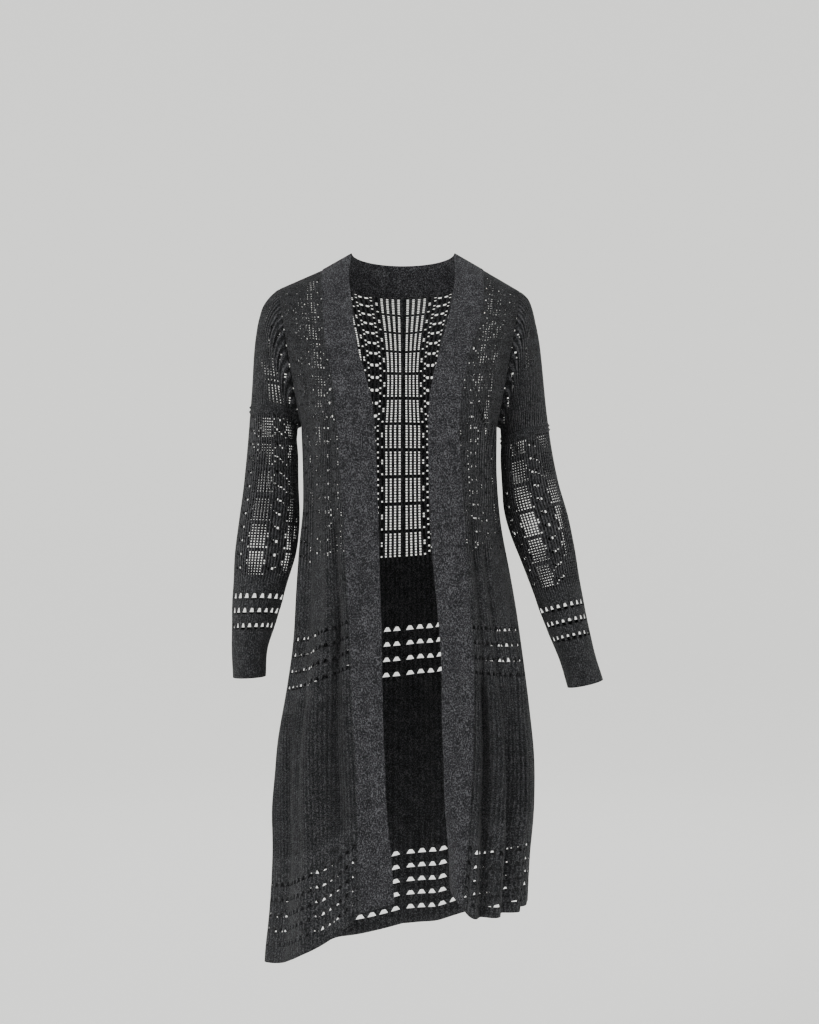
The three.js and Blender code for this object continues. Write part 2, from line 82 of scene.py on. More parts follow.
def table(columns, rows):
    """Columns of numbers by name, from rows written in that order."""
    return dict(zip(columns.split(), np.array(rows, float).T))


# Armhole: turn at each level from the underarm up, and the bend of the torso there, degrees
ARMHOLE = table("turn bend", [
    (180, 90),
    (155, 85),
    (130, 75),
    (105, 65),
    (80, 58),
    (57, 52),
    (36, 47),
    (18, 43),
    (0, 40),
])
print("levels from the hem to the shoulder:", SHOULDER + 1)

# %% Side seams and centre back
# Side seams at levels 0 to 10
SIDES = table("rightX rightZ leftX leftZ", [
    (-204, -1053, 187, -967),
    (-195.5, -973.5, 190.5, -896),
    (-192, -894, 196, -825),
    (-193, -814.5, 196, -754),
    (-188, -735, 189, -683.5),
    (-174.5, -655.5, 181, -612.5),
    (-161, -576, 171, -541.5),
    (-154.5, -496.5, 158.5, -471),
    (-150, -417, 146, -400),
    (-149, -337.5, 140, -329),
    (-152, -258, 140, -258),
])

# Centre back at levels 0 to 18
BACK = table("y z", [
    (117, -1030),
    (114, -952),
    (112, -875),
    (110, -797),
    (108, -720),
    (104, -642),
    (97, -565),
    (90, -487),
    (88, -410),
    (94, -332),
    (103, -255),
    (104, -244),
    (105.5, -218),
    (106, -182),
    (104, -146),
    (99, -116),
    (92, -90),
    (85, -70),
    (78, -55),
])
print("centre back, from hem to neckline, mm:", np.ptp(BACK["z"]))

# %% Front edges
# Where the front meets the band, and the band's free edge
FRONT_RIGHT = table("seamX seamY seamZ edgeX edgeY edgeZ", [
    (-61, -122, -960, -11.5, -125, -945),
    (-63, -119, -890, -16.5, -122, -880),
    (-65, -116, -820, -22.5, -119, -815),
    (-68, -113, -751, -25.5, -116, -748),
    (-71.5, -110, -681, -28, -113, -680),
    (-74.5, -108, -611, -29.5, -110, -611),
    (-77.5, -107, -541, -30.5, -109, -541),
    (-82, -108, -471, -33, -110, -471),
    (-86, -112, -402, -34.5, -114, -402),
    (-90.5, -117, -332, -37, -119, -332),
    (-94, -119, -262, -40, -121, -262),
    (-95.5, -118, -248, -41, -120, -248),
    (-98.5, -114, -222, -44, -115, -226),
    (-103, -104, -187, -53, -105, -191),
    (-111, -90, -152, -63.5, -92, -155),
    (-116, -69, -110, -71, -73, -116),
    (-119.5, -42, -70, -75, -46, -76),
    (-121, -17, -38, -80.5, -16, -28),
    (-121.5, 8, -22, -77, 12, 4),
])

FRONT_LEFT = table("seamX seamY seamZ edgeX edgeY edgeZ", [
    (85, -121, -951, 69.5, -80, -934),
    (91, -120, -881, 66, -94, -872),
    (97, -117, -811, 60.5, -108, -807),
    (101.5, -113, -739, 58, -114, -739),
    (103, -110, -671, 56, -112, -671),
    (102, -108, -603, 55.5, -110, -603),
    (98.5, -107, -535, 50.5, -109, -535),
    (93.5, -108, -467, 44, -110, -467),
    (89, -112, -399, 39.5, -114, -399),
    (84.5, -117, -330, 37, -119, -330),
    (82, -119, -262, 36, -121, -262),
    (82.5, -118, -248, 36.5, -120, -248),
    (84, -114, -222, 38, -115, -226),
    (89.5, -104, -187, 43.5, -105, -190),
    (98, -90, -150, 53, -91, -153),
    (112, -69, -112, 62.5, -73, -116),
    (119, -42, -70, 72, -46, -76),
    (120.5, -17, -38, 77.5, -16, -28),
    (121, 8, -22, 77, 12, 4),
])

# How far each panel dips between its seams at the hem, and at what share of its width
HEM_DIPS = {
    "front_right": (12, 0.3),
    "front_left": (14, 0.14),
    "back_right": (10, 0.5),
    "back_left": (12, 0.4),
}
HEM_DIP_LEVELS = 5
print("gap between the band's edges at the hem, mm:", FRONT_LEFT["edgeX"][0] - FRONT_RIGHT["edgeX"][0])

# %% Sleeve rings
# One ring for each row, the first at the armhole
SLEEVE_RIGHT = table("outX outZ inX inZ midY depth", [
    (-186, -51, -152, -258, 3, 54),
    (-199, -63, -157.5, -259.5, 3, 55),
    (-210, -78, -159, -263, 3, 55),
    (-216, -97, -159.5, -268, 3, 54.5),
    (-219.5, -120, -159.5, -275, 3, 54),
    (-223, -151, -159, -285, 4, 53),
    (-226, -190, -158.5, -300, 5, 52),
    (-229, -235, -158, -321, 6, 51),
    (-233, -290, -157, -348, 8, 49),
    (-239, -345, -156, -381, 9, 47),
    (-247, -400, -157.5, -416, 9, 45),
    (-252, -445, -162, -451, 7, 42),
    (-253.5, -489, -173, -489, 4, 40),
    (-256, -525, -183, -522, 0, 38),
    (-256, -561, -194, -556, -5, 36),
    (-255, -597, -203, -592, -10, 34),
    (-253, -632, -205, -630, -14, 33),
])

SLEEVE_LEFT = table("outX outZ inX inZ midY depth", [
    (176, -55, 140, -258, 3, 54),
    (187, -66, 145.5, -259.5, 3, 55),
    (194, -82, 147, -263, 3, 55),
    (199, -103, 147.5, -268, 3, 54.5),
    (203, -127, 147.5, -275, 3, 54),
    (207, -157, 147.5, -285, 4, 53),
    (211.5, -195, 147.5, -300, 5, 52),
    (216, -240, 148, -321, 6, 51),
    (222.5, -290, 149, -348, 8, 49),
    (233, -340, 152, -381, 9, 47),
    (248, -390, 162, -417, 9, 45),
    (257, -437, 176, -454, 7, 42),
    (264, -485, 192, -497, 4, 40),
    (271, -521, 206, -533, 0, 38),
    (278, -557, 221, -570, -5, 36),
    (287, -600, 236, -612, -10, 34),
    (298, -635, 246, -647, -14, 33),
])
print("rings from armhole to cuff:", len(SLEEVE_RIGHT["depth"]))

# %% Folds
# Folds of each panel: top and foot levels, place across at the top, drift, bow and half width as shares,
# and depth in mm, negative for a trough
FOLD_COLUMNS = "top foot across drift bow half depth"
FOLDS = {
    "front_right": table(FOLD_COLUMNS, [
        (7, 1.5, 0.06, 0.02, 0.12, 0.07, -7),
        (6.5, -1, 0.24, 0.1, 0.1, 0.1, 6),
        (10.5, 5, 0.55, 0.05, 0.02, 0.09, -5),
        (9, 3, 0.74, -0.04, 0.03, 0.08, 4),
        (5, -1, 0.62, 0.04, 0, 0.09, -6),
        (4, -1, 0.82, 0.02, 0, 0.07, 4),
    ]),
    "front_left": table(FOLD_COLUMNS, [
        (12.5, 7, 0.26, 0.44, 0, 0.07, -8),
        (12.5, 7.5, 0.12, 0.42, 0, 0.08, 4),
        (11, 7, 0.66, 0.16, 0, 0.06, -6),
        (5.5, -1, 0.12, 0.1, -0.02, 0.06, -10),
        (5, -1, 0.02, 0.08, 0, 0.06, 6),
        (4.5, -1, 0.36, 0.06, 0, 0.05, -7),
        (5, -1, 0.26, 0.06, 0, 0.07, 7),
        (6, -1, 0.5, 0.04, 0.02, 0.06, 6),
        (5.5, -1, 0.66, 0.02, 0, 0.06, -5),
    ]),
    "back_right": table(FOLD_COLUMNS, [
        (11, 3, 0.2, 0.02, 0.02, 0.08, -5),
        (6, -1, 0.42, 0.05, 0, 0.07, -9),
        (5, -1, 0.28, 0.06, 0, 0.07, 7),
        (12, 6, 0.72, -0.06, 0, 0.07, -6),
        (5, -1, 0.72, 0.02, 0.02, 0.07, 7),
    ]),
    "back_left": table(FOLD_COLUMNS, [
        (12, 5, 0.5, -0.08, 0, 0.08, -6),
        (7, -1, 0.16, 0.02, 0.03, 0.07, -8),
        (5.5, -1, 0.36, 0.05, 0, 0.08, 8),
        (6, -1, 0.56, 0.04, 0, 0.06, -7),
        (11, 6, 0.8, -0.06, 0, 0.06, 4),
    ]),
}
FOLD_END = 1.4  # levels over which a fold dies out at its top and foot
FOLD_EDGE = 0.08  # share of the width over which it dies out at a seam

# Folds of both sleeves: from ring, to ring, turn, drift and half width in degrees, and depth in mm,
# negative where the cloth stands out
SLEEVE_FOLDS = table("start end turn drift half depth", [
    (5, 10, 150, -30, 16, -3),
    (9, 13, 205, 40, 14, -3.5),
    (10, 14, 130, 45, 13, -3),
    (11, 15, 230, -40, 14, -2.5),
    (7, 12, 290, 20, 18, -2.5),
])
SLEEVE_FOLD_END = 1.2
print("folds:", {name: len(rows["top"]) for name, rows in FOLDS.items()})

# %% [markdown]
# ## Curves
# Two curves make the whole body. One runs smoothly through a list of points, for the seams and edges. The
# other is an arc that leaves the front edge or the centre back straight across the body and turns towards
# the side seam, as cloth does round a rib cage.


# %% Curves
def smooth(x):
    """0 below 0, 1 above 1, and 3x^2 - 2x^3 between."""
    x = np.clip(x, 0, 1)
    return x * x * (3 - 2 * x)


def through(points, index):
    """Cubic through the points, read at a fractional index: each tangent is the mean of the slopes on both
    sides of its point, weighted by the other side's length."""
    points = np.asarray(points, float)
    steps = np.diff(points, axis=0)
    chord = np.linalg.norm(steps, axis=1)[:, None]
    slope = steps / chord
    inner = (slope[:-1] * chord[1:] + slope[1:] * chord[:-1]) / (chord[:-1] + chord[1:])
    tangent = np.vstack([slope[:1], inner, slope[-1:]])
    i = np.clip(np.floor(index).astype(int), 0, len(points) - 2)
    t = (index - i)[..., None]
    h = chord[i]
    return (points[i] * (2 * t**3 - 3 * t**2 + 1) + tangent[i] * h * (t**3 - 2 * t**2 + t)
            + points[i + 1] * (3 * t**2 - 2 * t**3) + tangent[i + 1] * h * (t**3 - t**2))


def arc(inner, outer, bend, u):
    """Arc from inner (u = 0) to outer (u = 1) that has turned by bend degrees at its end: across the body
    by the sine of the turn, front to back by its cosine."""
    a = np.radians(bend)
    s = np.sin(a * u) / np.sin(a)
    c = (np.cos(a * u) - np.cos(a)) / (1 - np.cos(a))
    return np.stack([inner[..., 0] + (outer[..., 0] - inner[..., 0]) * s,
                     outer[..., 1] + (inner[..., 1] - outer[..., 1]) * c,
                     inner[..., 2] + (outer[..., 2] - inner[..., 2]) * s], axis=-1)


def normals_of(surface, v, u, step_v, step_u):
    """Unit normals of a surface of two parameters, by the cross product of its two small differences."""
    along = surface(v, u + step_u) - surface(v, u - step_u)
    up = surface(v + step_v, u) - surface(v - step_v, u)
    n = np.cross(along, up)
    return n / np.maximum(np.linalg.norm(n, axis=-1, keepdims=True), 1e-9)


print("smooth at 0, 1/4, 1/2 and 1:", smooth(np.array([0, 0.25, 0.5, 1])))

# %% [markdown]
# ## Body surfaces
# Each panel is a function of a level and a share of its width. Folds are added afterwards, out along the
# surface's own normals: a fold is a bell-shaped ridge or trough that runs down the panel, drifts sideways
# and dies out at both ends. The listed folds read as cloth because no two have the same size.

# %% Rings, armholes and side seams
SLEEVES = {RIGHT: SLEEVE_RIGHT, LEFT: SLEEVE_LEFT}
FRONTS = {RIGHT: FRONT_RIGHT, LEFT: FRONT_LEFT}


def front_line(side, kind, level):
    """Point on a front's line at a level: its seam with the band, or the band's free edge."""
    rows = FRONTS[side]
    return through(np.stack([rows[kind + axis] for axis in "XYZ"], axis=1), level)


def ring_point(rings, r, turn):
    """Point on a sleeve's ring r at a turn in degrees: an ellipse through the ring's outer point (0), its
    front (90) and its inner point (180)."""
    rows = np.stack([rings[k] for k in ("outX", "outZ", "inX", "inZ", "midY", "depth")], axis=1)
    out_x, out_z, in_x, in_z, mid_y, depth = np.moveaxis(through(rows, r), -1, 0)
    c, s = np.cos(np.radians(turn)), np.sin(np.radians(turn))
    return np.stack([(out_x + in_x) / 2 + (out_x - in_x) / 2 * c, mid_y - depth * s,
                     (out_z + in_z) / 2 + (out_z - in_z) / 2 * c], axis=-1)


def outer_at(side, face, level):
    """Outer edge of a torso piece: the side seam up to the underarm, then the armhole."""
    key = "right" if side == RIGHT else "left"
    seam = np.stack([SIDES[key + "X"], np.full(len(SIDES[key + "X"]), SIDE_Y), SIDES[key + "Z"]], axis=1)
    turns = ARMHOLE["turn"] * face
    hole = ring_point(SLEEVES[side], np.zeros(len(turns)), turns)
    below = through(seam, np.minimum(level, UNDERARM))
    above = through(hole, np.maximum(level, UNDERARM) - UNDERARM)
    return np.where((level > UNDERARM)[..., None], above, below)


def bend_at(level):
    return np.interp(level - UNDERARM, np.arange(len(ARMHOLE["bend"])), ARMHOLE["bend"])


def hem_drop(dip, lowest, level, u):
    """How far the cloth hangs below its seams near the hem: a bump that peaks at a share of the width."""
    v = np.maximum(u, 0)
    return dip * smooth(1 - level / HEM_DIP_LEVELS) * (v / lowest) * np.exp(1 - v / lowest) * (1 - v**4)


def fold_height(folds, level, u, open_centre):
    """Sum of the folds: each one its depth times a bell across the panel, faded at its top and foot."""
    height = np.zeros(np.broadcast(level, u).shape)
    for top, foot, across, drift, bow, half, depth in zip(*folds.values()):
        t = np.clip((top - level) / (top - foot), 0, 1)
        ends = smooth((top - level) / FOLD_END) * smooth((level - foot) / FOLD_END)
        centre = across + drift * t + bow * np.sin(np.pi * t)
        height += depth * ends * np.exp(-(((u - centre) / half) ** 2))
    edge = smooth((1 - u) / FOLD_EDGE) * (1 if open_centre else smooth(u / FOLD_EDGE))
    return height * edge * smooth((SHOULDER - level) * 2)


RIPPLE = 0.7  # height of the slack's waves, mm
UNDERARM_POINT = ring_point(SLEEVE_RIGHT, np.zeros(1), np.full(1, 180.0))[0]
print("right underarm, mm:", UNDERARM_POINT.round(1))


def ripple(level, u, phase):
    """Slack in the cloth: three crossed waves of about a millimetre, fading to none on the shoulders and
    at the side seams."""
    waves = (np.sin(9.1 * u + 0.9 * level + phase) + 0.8 * np.sin(21 * u - 1.3 * level + 2 * phase)
             + 0.6 * np.sin(5 * u + 2.3 * level + 3 * phase))
    return RIPPLE * waves * smooth((15 - level) / 5) * smooth((1 - u) / 0.1)


# %% Neck and shoulder lines
def neck_point(side, kind):
    rows = FRONTS[side]
    return np.array([rows[kind + axis][SHOULDER] for axis in "XYZ"])


def neck_curve(centre, end, t):
    """Quarter ellipse from the centre back (0) to the shoulder (1), level at the centre back."""
    p = arc(np.broadcast_to(centre, t.shape + (3,)), np.broadcast_to(end, t.shape + (3,)), 90.0, t)
    p[..., 2] = end[2] + (centre[2] - end[2]) * np.cos(np.radians(90 * t))
    return p


def neck_seam(side, t):
    return neck_curve(np.array([0, BACK["y"][SHOULDER], BACK["z"][SHOULDER]]), neck_point(side, "seam"), t)


def neck_edge(side, t):
    return neck_curve(np.array(NAPE_EDGE), neck_point(side, "edge"), t)


def shoulder_seam(side, t, face):
    start = neck_point(side, "seam")
    end = ring_point(SLEEVES[side], np.zeros(1), np.zeros(1))[0]
    line = start + (end - start) * t[..., None]
    return line + np.array([0, face * SEAM_GAP / 2, 0])


print("neck opening, mm:", neck_point(LEFT, "edge")[0] - neck_point(RIGHT, "edge")[0])


# %% Panels
def front_surface(side, level, u):
    """Right or left front at a level, u = 0 at the band and 1 at the side seam or armhole."""
    inner = front_line(side, "seam", level)
    outer = outer_at(side, 1, level)
    p = arc(inner, outer, bend_at(level), u)
    top = np.full_like(level, SHOULDER)
    flat_top = arc(front_line(side, "seam", top), outer_at(side, 1, top), bend_at(top), u)
    p += (shoulder_seam(side, u, -1) - flat_top) * smooth(level - SHOULDER + 1)[..., None]
    dip, lowest = HEM_DIPS["front_right" if side == RIGHT else "front_left"]
    p[..., 2] -= hem_drop(dip, lowest, level, u)
    return p


NECK_SHARE = 7 / 11  # share of each half of the back that ends on the neckline


def back_surface(side, level, u):
    """One half of the back, u = 0 at the centre and 1 at the side: arcs that rise to the neckline and the
    shoulder seam above the yoke."""
    centres = np.stack([np.zeros(len(BACK["y"])), BACK["y"], BACK["z"]], axis=1)
    p = arc(through(centres, level), outer_at(side, -1, level), bend_at(level), u)
    top = np.full_like(level, SHOULDER)
    top_arc = arc(through(centres, top), outer_at(side, -1, top), bend_at(top), u)
    neck = neck_seam(side, np.clip(u / NECK_SHARE, 0, 1))
    line = shoulder_seam(side, np.clip((u - NECK_SHARE) / (1 - NECK_SHARE), 0, 1), 1)
    top_line = np.where((u < NECK_SHARE)[..., None], neck, line)
    rise = smooth((level - YOKE_START) / (SHOULDER - YOKE_START))[..., None]
    p += (top_line - top_arc) * rise
    dip, lowest = HEM_DIPS["back_right" if side == RIGHT else "back_left"]
    p[..., 2] -= hem_drop(dip, lowest, level, u)
    return p


middle_back = back_surface(RIGHT, np.array([9.0]), np.zeros(1))[0]
print("middle of the back, mm:", middle_back.round(1))

# %% Creases and seams
SEAM_DIP = 0.9  # how far the sewn edge of a piece is pulled in, mm
SEAM_REACH = 0.018  # share of the width over which it is
TOP_DIP, TOP_REACH = 0.3, 0.12  # the same for the shoulder and neck edge, mm and levels
FOLD_GAIN = 1.6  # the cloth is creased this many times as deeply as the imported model's plain walls
BARE_STEP = (0.02, 0.004)  # levels and share of the width over which a bare panel's slope is taken
FINE_STEP = (0.01, 0.002)  # the same on the creased panel

# Creases of each panel that are too narrow for those walls, in the folds' own columns
CREASES = {
    "front_right": table(FOLD_COLUMNS, [
        (12.5, 8.2, 0.1, 0.02, 0.03, 0.05, -4),
        (8.8, 1, 0.11, 0.03, 0.02, 0.055, -9),
        (8, 2.2, 0.25, 0.05, -0.03, 0.06, 4),
        (5.8, 0.8, 0.45, -0.04, 0.04, 0.06, -7),
        (4.6, 0.9, 0.68, 0.03, 0.02, 0.05, 2.5),
        (14.6, 10.4, 0.62, -0.22, 0.05, 0.06, -3),
    ]),
    "front_left": table(FOLD_COLUMNS, [
        (9, 1, 0.11, -0.02, 0.03, 0.05, -7),
        (8.4, 1.4, 0.31, 0.03, -0.02, 0.045, -6),
        (7.2, 1, 0.47, 0.05, 0.03, 0.05, 4),
        (6.8, 0.8, 0.66, -0.03, -0.03, 0.045, -6),
        (14.2, 9.8, 0.5, -0.16, 0.05, 0.06, -3),
    ]),
    "back_right": table(FOLD_COLUMNS, [
        (8.8, 1.8, 0.22, 0.04, -0.03, 0.05, -4),
        (7.4, 0.8, 0.5, -0.05, 0.03, 0.06, -5),
        (6.2, 1.4, 0.74, 0.03, -0.02, 0.05, 3.5),
        (14.8, 9.4, 0.6, -0.2, 0.05, 0.06, -3),
    ]),
    "back_left": table(FOLD_COLUMNS, [
        (9.4, 2.2, 0.3, -0.03, 0.03, 0.06, -4.5),
        (6.8, 0.6, 0.58, 0.04, -0.03, 0.05, -4.5),
        (7.8, 2.8, 0.44, 0.02, 0.02, 0.05, 3),
        (14, 9.8, 0.66, -0.24, 0.05, 0.05, -3),
    ]),
}


def draped(base, name, facing, open_centre, phase):
    """A panel with its folds, its slack and its pulled-in seams, moved along its normals. facing is 1 where
    the normals of the bare surface point outwards, and -1 where they point in."""
    def surface(level, u):
        n = facing * normals_of(base, level, u, *BARE_STEP)
        height = FOLD_GAIN * fold_height(FOLDS[name], level, u, open_centre)
        height += fold_height(CREASES[name], level, u, open_centre) + ripple(level, u, phase)
        height -= SEAM_DIP * np.exp(-(((1 - u) / SEAM_REACH) ** 2))
        height -= TOP_DIP * np.exp(-(((SHOULDER - level) / TOP_REACH) ** 2))
        return base(level, u) + n * height[..., None]
    return surface


print("creases:", {name: len(rows["top"]) for name, rows in CREASES.items()})

# %% [markdown]
# ## Lace on a grid
# Pointelle is made by moving stitches aside, so its openings lie in columns (wales) and rows (courses).
# The grid follows that: every wale is a bar and an opening, and so is every course, and the cells where
# both are openings can be left out. That keeps each hole's edge exact and its wall real, for far fewer
# triangles than cutting would need. A cell's faces are both sides of the cloth, and every edge between
# cloth and opening gets a wall through the thickness.

# %% Wales and courses
BAR_SHARE = 0.5  # share of a wale that is cloth


def wale_columns(wales, bar=BAR_SHARE):
    """Column edges as shares of the width: a bar and an opening for each wale, and a last bar."""
    edges = (np.arange(wales)[:, None] + np.array([0, bar])).ravel()
    return np.append(edges, [wales, wales + bar]) / (wales + bar)


def wale_count(edges):
    """Wale number at each column edge, with whole numbers at the middle of the bars."""
    return np.arange(edges) / 2 - 0.25


COURSE_ROWS = {  # shares of one course's height, from below, with what each row of cells is
    "plain": [(1.0, "cloth")],
    "ladder": [(0.42, "cloth"), (0.58, "hole")],
    "mesh": [(0.5, "cloth"), (0.5, "hole")],
    "keyhole": [(0.12, "cloth"), (0.76, "keyhole"), (0.12, "cloth")],
    "ridge": [(1.0, "cloth")],
}
RIB_DEPTH = {"plain": 0.3, "ladder": 1.0, "mesh": 0.2, "keyhole": 0.5, "ridge": 0.2}


def rib_depths(patterns):
    """How deep the valley between wales is at each row edge, as a share of its depth in the ladders."""
    depths = np.array([RIB_DEPTH[pattern] for pattern in patterns])
    return np.append(depths, depths[-1])[:, None]


def cloth_layer(across, heights):
    """The cloth's UV over a grid: metres across and along the piece."""
    return np.stack([across, np.broadcast_to(heights[:, None] * MM, across.shape)], axis=-1)


def wale_layer(count, patterns, shape):
    """The wales' UV over a grid: the count of wales across, and how deep the valleys between them are."""
    return np.stack([np.broadcast_to(count, shape), np.broadcast_to(rib_depths(patterns), shape)], axis=-1)


def keyhole_zones(middles, size):
    """Zones that put one row of keyholes, size high, at each height."""
    zones = []
    for middle in middles:
        zones += [("plain", middle - size / 2), ("keyhole", middle + size / 2)]
    return zones


def course_rows(zones, pitches):
    """Rows of cells from a plan of zones, each (pattern, height it ends at): heights of the row edges, and
    for each row its kind, its pattern and the number of its course in the zone."""
    edges, kinds, patterns, numbers = [0.0], [], [], []
    for pattern, end in zones:
        start = edges[-1]
        count = 1 if pattern == "keyhole" else max(1, round((end - start) / pitches[pattern]))
        for course in range(count):
            at = 0.0
            for share, kind in COURSE_ROWS[pattern]:
                at += share
                edges.append(start + (end - start) * (course + at) / count)
                kinds.append(kind)
                patterns.append(pattern)
                numbers.append(course)
    return np.array(edges), np.array(kinds), np.array(patterns), np.array(numbers)


print("kinds of course:", ", ".join(COURSE_ROWS))

# %% Crosses, ladders and keyholes
MOTIF_WALES = 12  # the cross motif and the ladders beside it repeat every so many wales
MOTIF_COURSES = 5
BREAK_COURSES = 10  # a plain course after every so many
TIP, FOOT = 0.3, 0.04  # shares of a keyhole's width by which its top corners go in and its lower ones out
HEART_SWELL = ((-1, 0.1), (0, 0.42), (1, 0.2))  # row beside a long hole's, and its swell, share of a wale


def long_holes(columns, kinds, patterns, numbers, first):
    """The cells above the two holes at the heart of each cross, which are open too, so that those holes are
    two rows high."""
    wale, is_hole = np.arange(columns) // 2, np.arange(columns) % 2 == 1
    m = (wale + first) % MOTIF_WALES
    rows = (kinds == "cloth") & (patterns == "ladder") & (numbers % MOTIF_COURSES == 3)
    rows &= numbers % BREAK_COURSES != BREAK_COURSES - 1
    return rows[:, None] & is_hole & ((m == 2) | (m == 3))


def openings(columns, kinds, patterns, numbers, first, keyhole, every_other=False, wraps=False):
    """Which cells are open. Odd columns are openings. In the ladders a cross motif takes six wales of every
    twelve: its arms step outwards by a wale for each course from a pair of long holes. first is the place
    of the first wale in the repeat. keyhole is the columns in one keyhole's repeat and the open ones.
    every_other opens every second wale of the ladders and leaves out the crosses."""
    number = np.arange(columns)
    wale, is_hole = number // 2, number % 2 == 1
    m = (wale + first) % MOTIF_WALES
    course = numbers[:, None]
    c5 = course % MOTIF_COURSES
    arm = np.abs(c5 - 2)  # 0 at the heart of the cross, 2 at its ends
    cross = (np.abs(m - 2.5) == arm + 0.5)
    ladder = (m > 5) | cross
    if every_other:
        ladder = np.broadcast_to(wale % 2 == 0, (len(kinds), columns))
    ladder = ladder & (course % BREAK_COURSES != BREAK_COURSES - 1)
    mesh = np.ones((len(kinds), columns), bool)
    by_pattern = np.where((patterns == "ladder")[:, None], ladder, mesh) & is_hole
    is_open = by_pattern & (kinds == "hole")[:, None]
    if not every_other:
        is_open |= long_holes(columns, kinds, patterns, numbers, first)
    repeat, wide = keyhole
    place = (number - 1) % repeat
    is_open |= (kinds == "keyhole")[:, None] & (place < wide) & (number - place + repeat <= columns)
    if not wraps:
        is_open[:, [0, -1]] = False
    return is_open


def shape_holes(u, kinds, patterns, numbers, first, keyhole, wraps):
    """Draws the top corners of each keyhole together, so that it ends in a blunt point, and swells the long
    holes of the crosses outwards, by moving their edges in the share of the width."""
    repeat, wide = keyhole
    columns = u.shape[1] - (0 if wraps else 1)
    left = np.arange(1, columns - repeat + 1, repeat)
    right = left + wide
    tops = np.flatnonzero(kinds == "keyhole") + 1
    width = u[tops][:, right] - u[tops][:, left]
    for k in range(wide + 1):
        u[np.ix_(tops, left + k)] += TIP * (1 - 2 * k / wide) * width
        u[np.ix_(tops - 1, left + k)] -= FOOT * (1 - 2 * k / wide) * width
    rows, cols = np.nonzero(long_holes(columns, kinds, patterns, numbers, first))
    onward = (cols + 1) % u.shape[1]
    pitch = u[0, 3] - u[0, 1]
    is_left = (cols // 2 + first) % MOTIF_WALES == 2
    for step, swell in HEART_SWELL:
        u[rows[is_left] + step, cols[is_left]] -= swell * pitch
        u[rows[~is_left] + step, onward[~is_left]] += swell * pitch
    return u


print("a cross repeats every", MOTIF_WALES, "wales and", MOTIF_COURSES, "courses")

# %% Knitted walls
MERGE = 2e-6  # points closer than this are one, m


def knit_wall(name, points, normals, is_open, half, wraps, uv, wales):
    """A closed mesh of the cloth on both sides of a grid of points, with real openings. half is half the
    thickness, a number or an array over the grid. wales is the count of wales across and how deep the
    valleys between them are. Points are millimetres, the mesh is metres."""
    rows, cols = points.shape[:2]
    offset = normals * np.broadcast_to(half, (rows, cols))[..., None]
    vertices = np.concatenate([(points + offset).reshape(-1, 3), (points - offset).reshape(-1, 3)]) * MM
    index = np.arange(rows * cols).reshape(rows, cols)
    right = np.roll(index, -1, axis=1) if wraps else index[:, 1:]
    left = index if wraps else index[:, :-1]
    a, b, c, d = left[:-1], right[:-1], right[1:], left[1:]
    behind = rows * cols
    solid = ~is_open
    corners = np.stack([a, b, c, d], axis=-1)
    quads = [corners[solid], corners[solid][:, ::-1] + behind]

    pad = np.zeros((1, solid.shape[1]), bool)
    below, above = np.vstack([pad, solid[:-1]]), np.vstack([solid[1:], pad])
    if wraps:
        west, east = np.roll(solid, 1, axis=1), np.roll(solid, -1, axis=1)
    else:
        side = np.zeros((solid.shape[0], 1), bool)
        west, east = np.hstack([side, solid[:, :-1]]), np.hstack([solid[:, 1:], side])
    for start, end, beside in ((a, b, below), (b, c, east), (c, d, above), (d, a, west)):
        edge = solid & ~beside
        s, e = start[edge], end[edge]
        quads.append(np.stack([e, s, s + behind, e + behind], axis=-1))
    quads = np.concatenate(quads)

    mesh = bpy.data.meshes.new(name)
    mesh.vertices.add(len(vertices))
    mesh.vertices.foreach_set("co", vertices.ravel())
    mesh.loops.add(quads.size)
    mesh.loops.foreach_set("vertex_index", quads.ravel().astype(np.int32))
    mesh.polygons.add(len(quads))
    mesh.polygons.foreach_set("loop_start", np.arange(0, quads.size, 4, dtype=np.int32))
    for label, values in (("cloth", uv), ("wales", wales)):
        layer = mesh.uv_layers.new(name=label)
        layer.data.foreach_set("uv", np.concatenate([values.reshape(-1, 2)] * 2)[quads.ravel()].ravel())
    mesh.update(calc_edges=True)
    tidy = bmesh.new()
    tidy.from_mesh(mesh)
    bmesh.ops.remove_doubles(tidy, verts=tidy.verts, dist=MERGE)
    loose = [v for v in tidy.verts if not v.link_faces]
    bmesh.ops.delete(tidy, geom=loose, context="VERTS")
    tidy.to_mesh(mesh)
    tidy.free()
    mesh.polygons.foreach_set("use_smooth", np.ones(len(mesh.polygons), bool))
    mesh.validate()
    piece = bpy.data.objects.new(name, mesh)
    bpy.context.collection.objects.link(piece)
    triangles = sum(len(p.vertices) - 2 for p in mesh.polygons)
    print(f"{name}: {triangles} triangles, {int(is_open.sum())} open cells")
    return piece


# %% Cuts
def flat_cut(points, wraps=False):
    """Flat size of a piece before it hangs, in metres: its longest row, its longest column and its area."""
    closed = np.concatenate([points, points[:, :1]], axis=1) if wraps else points
    width = np.linalg.norm(np.diff(closed, axis=1), axis=2).sum(1).max() * MM
    length = np.linalg.norm(np.diff(closed, axis=0), axis=2).sum(0).max() * MM
    one = closed[1:, 1:] - closed[:-1, :-1]
    other = closed[1:, :-1] - closed[:-1, 1:]
    area = np.linalg.norm(np.cross(one, other), axis=2).sum() / 2 * MM * MM
    return width, length, min(area, width * length)


def settle(piece, node, yarn):
    """Gives the piece its yarn, hangs it from the root, and hides the imported part that it stands for."""
    piece.data.materials.append(yarn)
    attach(piece, "root")
    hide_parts(node)
